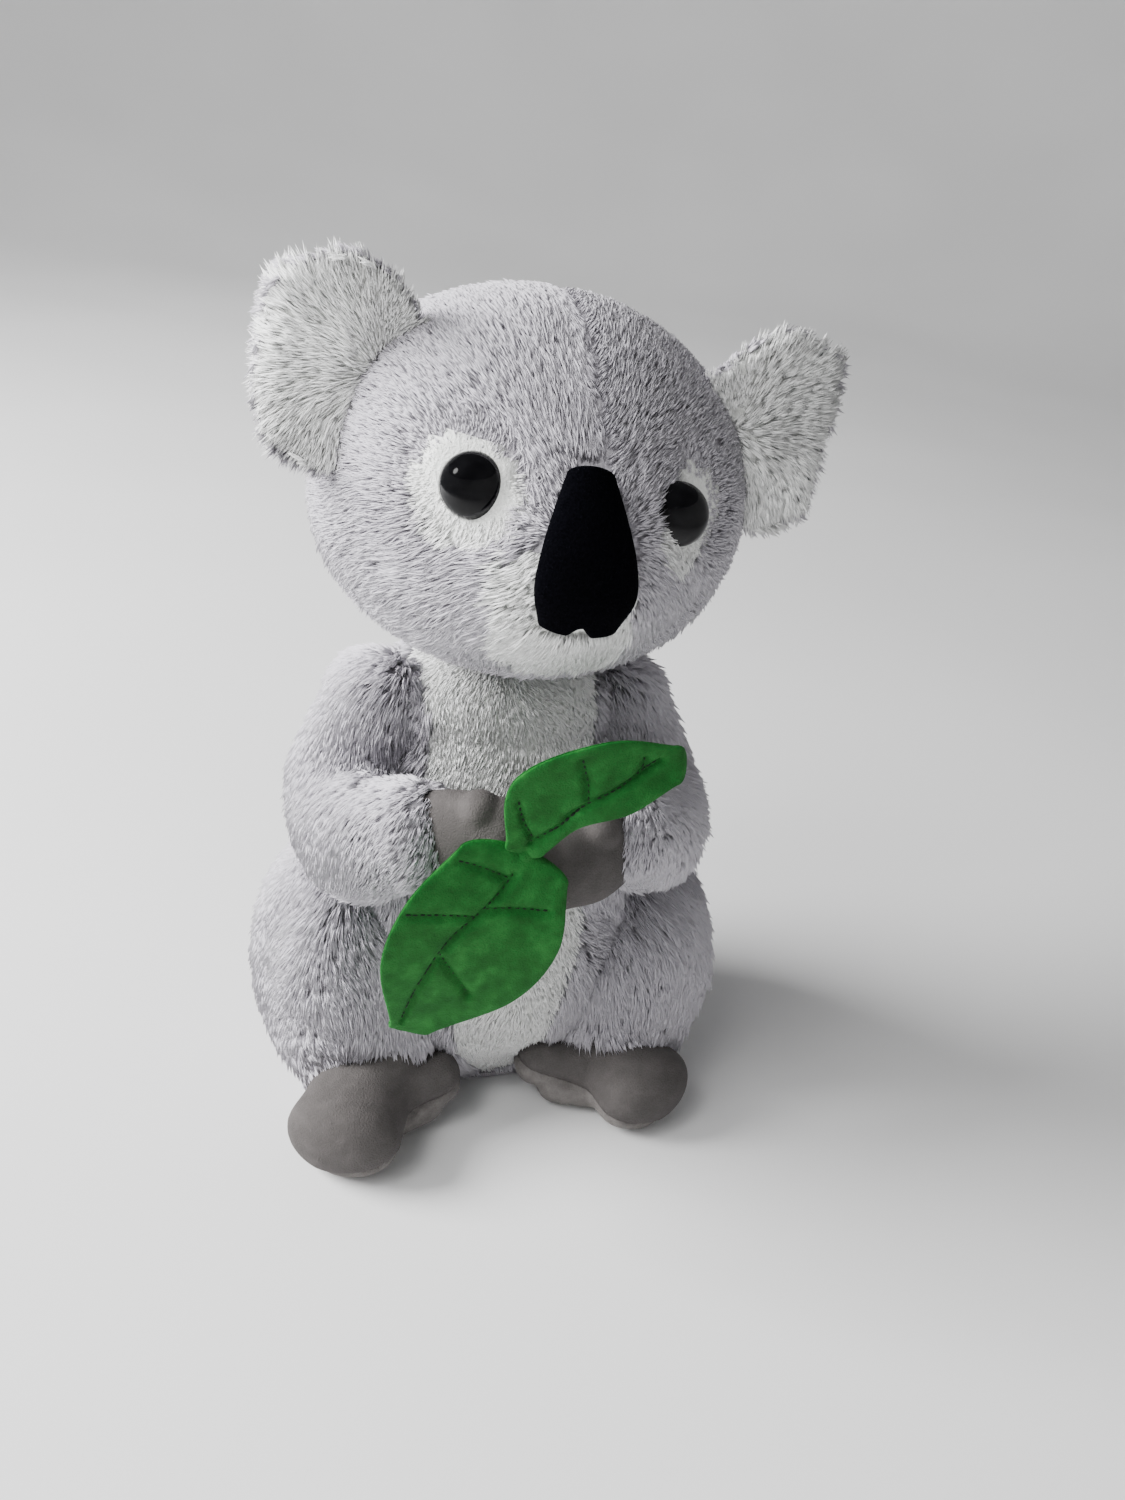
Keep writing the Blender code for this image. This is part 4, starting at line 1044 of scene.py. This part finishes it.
def head_coat(points, normals, dice):
    spots = head_places(points)
    front = spots[:, 1] < 0
    nose = np.array((0.0, -HEAD_HALF_DEPTH - MUZZLE_BULGE * 0.6, 0.002))
    away = unit(spots - nose)
    behind = smooth(spots[:, 1], -0.02, 0.04)
    low = smooth(-spots[:, 2], -0.005, 0.03)
    fall = np.zeros_like(spots)
    fall[:, 2] = -(0.15 + 0.55 * low + 0.9 * behind)
    flow = away * (1 - 0.5 * behind)[:, None] + fall
    length = 0.0058 + 0.0028 * smooth(-spots[:, 2], -0.03, 0.012)
    length = np.maximum(length, 0.0086 * behind)
    lift = np.full(len(points), FUR_LIFT)
    speckle = dice.normal(0, 1, len(points))
    shade = 0.66 + 0.08 * ripples(points, 0.004, 21)
    white = on_chin_pile(spots) & front
    keep = np.ones(len(points), bool)
    for _, side in SIDES:
        reach = eye_reach(spots, side)
        inner = smooth(-side * (spots[:, 0] - side * EYE_SPACING), 0.001, 0.008)
        near = (1 - smooth(reach, 0.010, 0.019)) * front * (1 - (0.85 if side > 0 else 0.25) * inner)
        off = (spots[:, 0] - side * EYE_SPACING, np.zeros(len(spots)), spots[:, 2] - EYE_RISE)
        ray = unit(np.stack(off, 1))
        flow = flow * (1 - near)[:, None] + ray * near[:, None]
        length *= 1 - 0.66 * near
        keep &= ~((reach < EYE_RADIUS - 0.0004 - (0.0018 if side > 0 else 0.0) * inner) & front)
        # The white patch round the toy's left eye is drawn smaller and nearer the nose: partly grey pile
        # lying over it, partly painted shade, grey pile where that side of the face falls in shade.
        patch = eye_reach(spots, side, EYE_PATCH_SPACING - 0.0034 * (side > 0), EYE_PATCH_RISE - 0.0014)
        white |= (patch < EYE_PATCH_RADIUS - (0.0024 if side > 0 else 0.0008)) & front
    edge = np.abs(spots[:, 0]) - nose_half(spots[:, 2])
    keep &= ~((edge < -0.0010) & front)
    near_nose = (1 - smooth(edge, 0.0, 0.006)) * front * (np.abs(spots[:, 2]) < 0.024)
    length *= 1 - 0.4 * near_nose
    # The pile parts along the forehead seam; its darker tone along the seam is painted shade in the parting.
    seam = spots[:, 0] - 0.0032 + 0.163 * (spots[:, 2] - 0.0272)
    parted = np.exp(-(seam / 0.0035) ** 2) * (spots[:, 2] > NOSE_TOP_RISE) * (spots[:, 1] < 0.03)
    flow[:, 0] += np.sign(seam) * parted * 0.7
    length *= 1 - 0.25 * parted
    shade -= 0.55 * np.exp(-(seam / 0.0013) ** 2) * (spots[:, 2] > NOSE_TOP_RISE) * (spots[:, 1] < 0.03)
    # A dimple below the toy's right eye: the pile is shorter there, and its darker tone is painted shade in
    # the dimple.
    reach = np.hypot((spots[:, 0] + 0.0315) / 2.6, spots[:, 2] + 0.0035 - 0.42 * (spots[:, 0] + 0.0315))
    dimple = np.exp(-(reach / 0.0011) ** 2) * front
    shade -= 0.5 * dimple
    length *= 1 - 0.5 * dimple
    rough = np.maximum(smooth(-spots[:, 2], -0.010, 0.016), 0.7 * smooth(spots[:, 0], -0.010, 0.020))
    rough = np.maximum(rough, 0.7 * behind)
    lift *= 0.45 + 0.55 * rough
    shade += speckle * (0.02 + 0.06 * rough)
    world_flow = flow @ INTO_HEAD[:3, :3]
    turn = 0.30 * ripples(points, 0.008, 22) + 0.09 * ripples(points, 0.003, 23)
    turn *= 0.35 + 0.65 * smooth(-spots[:, 2], -0.035, 0.0)
    shade = np.where(white, 0.80 + 0.06 * speckle, shade)
    table = coat_table(points, normals, combed(world_flow, normals, turn), length, lift, shade,
                       spread=0.0020 - 0.0007 * rough, gather=0.40 * rough)
    return table, white, keep, spots


def dress_head():
    dice = np.random.default_rng(2)
    skin("head", "head")
    points, normals = tufts_on(forms["head"], TUFT_SPACING, dice)
    others = [trees[key] for key in ("torso", "ear_right", "ear_left")]
    table, white, keep, spots = head_coat(points, normals, dice)
    keep &= ~buried(points, others, BURIED_DEPTH)
    chin = on_chin_pile(spots)
    grow("head_fur", rows(table, keep & ~white), 18, dice, "head", "grey_plush")
    grow("chin_fur", rows(table, keep & white & chin), 18, dice, "head", "white_plush")
    grow("eye_fur", rows(table, keep & white & ~chin), 18, dice, "head", "white_plush")
    panel_piece("head", "chin_cloth", lambda points: on_chin(head_places(points)), "chin_panel")
    for side_name, side in SIDES:
        def round_eye(points, side=side):
            local = head_places(points)
            reach = eye_reach(local, side, EYE_PATCH_SPACING, EYE_PATCH_RISE)
            return (local[:, 1] < 0) & (reach < EYE_PATCH_RADIUS)
        panel_piece("head", "eye_cloth_" + side_name, round_eye, "eye_patch_" + side_name)


def dress_eyes():
    arc = [math.pi / 2 * (1 - index / 14) for index in range(15)]
    profile = [(EYE_RADIUS * math.cos(angle), EYE_DOME * math.sin(angle)) for angle in arc]
    profile[0] = (0, EYE_DOME)
    profile += [(EYE_RADIUS, -EYE_RIM), (EYE_STEM_RADIUS, -EYE_RIM),
                (EYE_STEM_RADIUS, -EYE_STEM_LENGTH), (0, -EYE_STEM_LENGTH)]
    for side_name, side in SIDES:
        bm = lathe(profile, 64)
        place = face_frame(side * EYE_SPACING, EYE_RISE, EYE_SINK)
        bmesh.ops.transform(bm, matrix=place, verts=bm.verts)
        made = finished(bm, "eye_dome_" + side_name, EYE_PLASTIC)
        placed(made, "head", "eye_" + side_name)


def dress_nose():
    last = len(NOSE_WIDTH_SHARES) - 1
    height = NOSE_TOP_RISE + NOSE_BOTTOM_DROP
    route = [HEAD_FRAME @ on_face(0.0, height * index / last - NOSE_BOTTOM_DROP) for index in range(last + 1)]
    bm = swollen(route, shrunk(NOSE_WIDTH_SHARES, NOSE_HALF_WIDTH),
                 shrunk(NOSE_THICKNESS_SHARES, NOSE_HALF_THICKNESS), HEAD_TURN @ ACROSS,
                 (NOSE_END_DOME, NOSE_END_DOME), NOSE_FACES)
    notch = HEAD_FRAME @ on_face(0.0, -NOSE_BOTTOM_DROP - NOSE_END_DOME)
    facing = HEAD_TURN @ Vector((0, -1, 0))
    for vert in bm.verts:
        reach = vert.co - notch
        reach -= facing * reach.dot(facing)
        if reach.length < NOSE_NOTCH_RADIUS:
            vert.co += HEAD_TURN @ UP * (NOSE_NOTCH_RADIUS - reach.length)
    placed(finished(bm, "nose_velvet", BLACK_VELVET), "head", "nose")


def ear_coat(side, dice):
    """The pile of both layers of an ear, and which tufts are on its front."""
    points, normals = tufts_on(forms["ear_right" if side < 0 else "ear_left"], TUFT_SPACING, dice)
    keep = ~buried(points, [trees["head"]], EAR_BURIED_DEPTH)
    points, normals = points[keep], normals[keep]
    axis = HEAD_TURN @ UP
    route = ear_route(side)
    root = HEAD_FRAME @ Vector((side * HEAD_HALF_WIDTH * 0.80, -EAR_ROOT_FORWARD, EAR_ROOT_RISE))
    flow = unit(points - np.array(root))
    ahead = (route[-1] - route[0]).normalized()
    deep = np.array(ahead.cross((axis * side - ahead * (axis * side).dot(ahead)).normalized()))
    front = (normals @ deep) > -0.15
    flow[:, 2] -= np.where(front, 0.15, 0.4)
    reach = (points - np.array(route[0])) @ np.array(ahead)
    rise = (points - np.array(route[0])) @ np.array(axis)
    front &= ~((rise > 0.006) & (reach < 0.003 + 0.45 * (rise - 0.006)) & ((normals @ deep) < 0.6))
    turn = 0.20 * ripples(points, 0.006, 31) + 0.06 * ripples(points, 0.003, 32)
    inner = 1 - smooth(reach, 0.004, 0.014)
    loose = 1.0 if side > 0 else 0.0
    length = np.where(front, 0.0064 + 0.0012 * loose, 0.0074) * (1 + 0.10 * ripples(points, 0.004, 33))
    length *= 1 - 0.3 * inner
    # The darker spot on the ear's front is painted shade of a dimple; the ear's form has no dent there.
    dent = np.exp(-((reach - 0.013) / 0.0035) ** 2 - ((rise - 0.002) / 0.0035) ** 2)
    shade = np.where(front, 0.88 - 0.35 * dent, 0.60) + dice.normal(0, 0.05, len(points))
    lift = FUR_LIFT * (0.55 + 0.35 * loose)
    table = coat_table(points, normals, combed(flow, normals, turn), length, lift, shade,
                       spread=np.where(front, 0.0019 - 0.0006 * loose, 0.0013),
                       gather=np.where(front, 0.05 + 0.30 * loose, 0.3))
    return table, front


def dress_ears():
    for side_name, side in SIDES:
        dice = np.random.default_rng(30 + side)
        body = "ear_" + side_name
        table, front = ear_coat(side, dice)
        for layer, label, chosen, slot, finish in (
                (1, "_front", front, "white_plush", WHITE_BACKING),
                (-1, "_back", ~front, "grey_plush", GREY_BACKING)):
            made = finished(ear_form(side, layer), body + label + "_cloth", finish)
            placed(made, body, body + label)
            grow(body + label + "_fur", rows(table, chosen), 18, dice, body, slot)


def dress_arm(side_name, side, dice):
    name = "arm_" + side_name
    skin(name, "arms")
    points, normals = tufts_on(forms[name], TUFT_SPACING, dice)
    keep = ~buried(points, [trees[key] for key in ("torso", "leg_" + side_name, "head")], BURIED_DEPTH)
    points, normals = points[keep], normals[keep]
    reach = np.linalg.norm(points - np.array(beside_torso(ARM_ROUTE_SHARES, side)[-1]), axis=1)
    flow = np.tile((0.35 * side, -0.15, -1.0), (len(points), 1))
    turn = 0.40 * ripples(points, 0.009, 41) + 0.10 * ripples(points, 0.003, 42)
    length = ARM_PILE * (1 + 0.12 * ripples(points, 0.004, 43)) * (0.66 + 0.34 * smooth(reach, 0.016, 0.026))
    shade = 0.66 + 0.10 * ripples(points, 0.004, 44) + dice.normal(0, 0.07, len(points))
    table = coat_table(points, normals, combed(flow, normals, turn), length, FUR_LIFT, shade)
    grow("arm_fur_" + side_name, table, 17, dice, "arms", "grey_plush")


def dress_leg(side_name, side, dice):
    name = "leg_" + side_name
    skin(name, name)
    points, normals = tufts_on(forms[name], TUFT_SPACING, dice)
    keep = ~buried(points, [trees["torso"]], BURIED_DEPTH) & (points[:, 2] > LEG_PILE_LOWEST)
    points, normals = points[keep], normals[keep]
    flow = np.tile((0.25 * side, -0.35, -1.0), (len(points), 1))
    turn = 0.46 * ripples(points, 0.009, 51) + 0.12 * ripples(points, 0.003, 52)
    length = LEG_PILE * (1 + 0.14 * ripples(points, 0.004, 53))
    shade = 0.64 + 0.12 * ripples(points, 0.004, 54) + dice.normal(0, 0.08, len(points))
    table = coat_table(points, normals, combed(flow, normals, turn), length, FUR_LIFT, shade)
    grow("leg_fur_" + side_name, table, 17, dice, name, "grey_plush")


def welded(name, parts, rounds, finish):
    """Forms joined into one soft skin."""
    bm = bmesh.new()
    for part in parts:
        mesh = bpy.data.meshes.new("part")
        outward(part).to_mesh(mesh)
        bm.from_mesh(mesh)
        bpy.data.meshes.remove(mesh)
    made = finished(bm, name, finish)
    remesh = made.modifiers.new("weld", "REMESH")
    remesh.mode = "VOXEL"
    remesh.voxel_size = SKIN_VOXEL
    remesh.use_smooth_shade = True
    soften = made.modifiers.new("soften", "SMOOTH")
    soften.iterations = rounds
    soften.factor = 0.5
    mesh = bpy.data.meshes.new_from_object(made.evaluated_get(bpy.context.evaluated_depsgraph_get()))
    made.modifiers.clear()
    old = made.data
    made.data = mesh
    bpy.data.meshes.remove(old)
    mesh.materials.clear()
    mesh.materials.append(finish)
    mesh.shade_smooth()
    return made


def dress_hand(side_name, side):
    palm = swollen(beside_torso(HAND_ROUTES[side], side), shrunk(HAND_HEIGHT_SHARES, HAND_HALF_HEIGHT),
                   (HAND_HALF_THICKNESS, HAND_HALF_THICKNESS), UP, (HAND_DOME, HAND_DOME), PALM_FACES)
    thumb = lobe(beside_torso(THUMB_ROUTES[side], side), THUMB_RADIUS, Vector((side, 0, 0)), THUMB_DOME)
    made = welded("hand_mitten_" + side_name, [palm, thumb], 4, GREY_MINKY)
    placed(made, "arms", "hand_" + side_name)


def dress_foot(side_name, side):
    heights = shrunk(FOOT_HEIGHT_SHARES, FOOT_HALF_HEIGHT)
    route = on_floor(FOOT_ROUTES[side], heights, side)
    foot = swollen(route, shrunk(FOOT_WIDTH_SHARES, FOOT_HALF_WIDTH), heights, ACROSS,
                   (FOOT_DOME, FOOT_DOME), FOOT_FACES)
    toe_rise = TOE_RISE_SHARE * FOOT_HALF_HEIGHT
    toe = lobe(level_route(TOE_ROUTES[side], toe_rise, side), TOE_RADIUS, UP, TOE_DOME)
    web = lobe(level_route(WEB_ROUTES[side], WEB_RISE, side), WEB_RADIUS, UP, TOE_DOME)
    whole = welded("foot_whole", [foot, toe, web], 5, GREY_MINKY)
    middle = Vector((route[1].x, route[1].y, SOLE_RISE))
    out = Matrix.Rotation(math.radians(side * SOLE_TILT_DEG), 3, "Y") @ UP
    for label, finish, slot, sign in (("foot_", GREY_MINKY, "grey_minky", 1),
                                      ("sole_", SOLE_MINKY, "sole_minky", -1)):
        bm = bmesh.new()
        bm.from_mesh(whole.data)
        bm.normal_update()
        moves = []
        for vert in bm.verts:
            near = 1 - abs((vert.co - middle).dot(out)) / SOLE_GROOVE_REACH
            if near > 0:
                moves.append((vert, vert.normal * SOLE_GROOVE_DEPTH * near))
        for vert, move in moves:
            vert.co -= move
        cut = bmesh.ops.bisect_plane(bm, geom=list(bm.verts) + list(bm.edges) + list(bm.faces), dist=0.00001,
                                     plane_co=middle, plane_no=out * -sign, clear_outer=True)
        rim = [item for item in cut["geom_cut"] if isinstance(item, bmesh.types.BMEdge)]
        bmesh.ops.holes_fill(bm, edges=rim)
        made = finished(seated(bm, SOLE_LOWEST), label + "minky_" + side_name, finish)
        placed(made, "leg_" + side_name, label + side_name)
    bpy.data.objects.remove(whole)


def dress_leaf(name, shares, length, half_width, widths, across, veins):
    route = [KNOT + Vector(share) * length for share in shares]
    spreads = shrunk(widths, half_width)
    span = sum((end - start).length for start, end in zip(route, route[1:]))
    dent = vein_dent(veins, span, spreads)
    depth = LEAF_LAYER_THICKNESS
    for layer, label in ((1, "_front"), (-1, "_back")):
        bm = swollen(route, spreads, (depth, depth), across, (LEAF_BASE_DOME, LEAF_TIP_DOME), LEAF_FACES,
                     layer, LEAF_CUP, dent)
        placed(finished(bm, name + label + "_minky", GREEN_MINKY), name, name + label)
        bm = stitches(route, spreads, depth, across, veins, span, layer, dent)
        placed(finished(bm, name + label + "_stitches", SPRIG_THREAD), name)


def dress_knot():
    bm = ball((24, 16), KNOT_RADIUS)
    bmesh.ops.translate(bm, vec=KNOT, verts=bm.verts)
    placed(finished(bm, "sprig_knot", GREEN_MINKY), "arms", "sprig_tack")


def dress_base():
    bm = ball(BASE_FACES)
    for vert in bm.verts:
        flat = math.copysign(abs(vert.co.z) ** 0.35, vert.co.z) if vert.co.z else 0.0
        vert.co = Vector((vert.co.x * SEAT_HALF_WIDTH, vert.co.y * SEAT_HALF_DEPTH,
                          SEAT_PANEL_THICKNESS * (0.5 + 0.5 * flat)))
    placed(finished(bm, "base_cloth_panel", BASE_CLOTH), "torso", "seat_panel")
    bm = ball(BASE_FACES)
    for vert in bm.verts:
        vert.co = Vector((vert.co.x * POUCH_HALF_WIDTH, vert.co.y * POUCH_HALF_DEPTH,
                          SEAT_PANEL_THICKNESS + GAP + max(vert.co.z, 0.0) * POUCH_HEIGHT))
    bmesh.ops.remove_doubles(bm, verts=bm.verts, dist=0.00001)
    placed(finished(bm, "pouch_of_pellets", POUCH_CLOTH), "torso", "pellet_pouch")


dress_torso()
dress_head()
dress_eyes()
dress_nose()
dress_ears()
for each_name, each_side in SIDES:
    limb_dice = np.random.default_rng(40 + each_side)
    dress_arm(each_name, each_side, limb_dice)
    dress_leg(each_name, each_side, limb_dice)
for each_name, each_side in SIDES:
    dress_hand(each_name, each_side)
for each_name, each_side in SIDES:
    dress_foot(each_name, each_side)
dress_leaf("leaf_large", LEAF_LARGE_ROUTE, LEAF_LARGE_LENGTH, LEAF_LARGE_HALF_WIDTH, LEAF_LARGE_WIDTHS,
           ACROSS, LEAF_LARGE_VEINS)
dress_leaf("leaf_small", LEAF_SMALL_ROUTE, LEAF_SMALL_LENGTH, LEAF_SMALL_HALF_WIDTH, LEAF_SMALL_WIDTHS,
           Vector((-1, 0, 1)), LEAF_SMALL_VEINS)
dress_knot()
dress_base()
for node_name, finish in (("neck_seam", SEAM_THREAD), ("eye_washer_right", WASHER_PLASTIC),
                          ("eye_washer_left", WASHER_PLASTIC)):
    for slot_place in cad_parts[node_name].material_slots:
        slot_place.material = finish

bpy.context.view_layer.update()
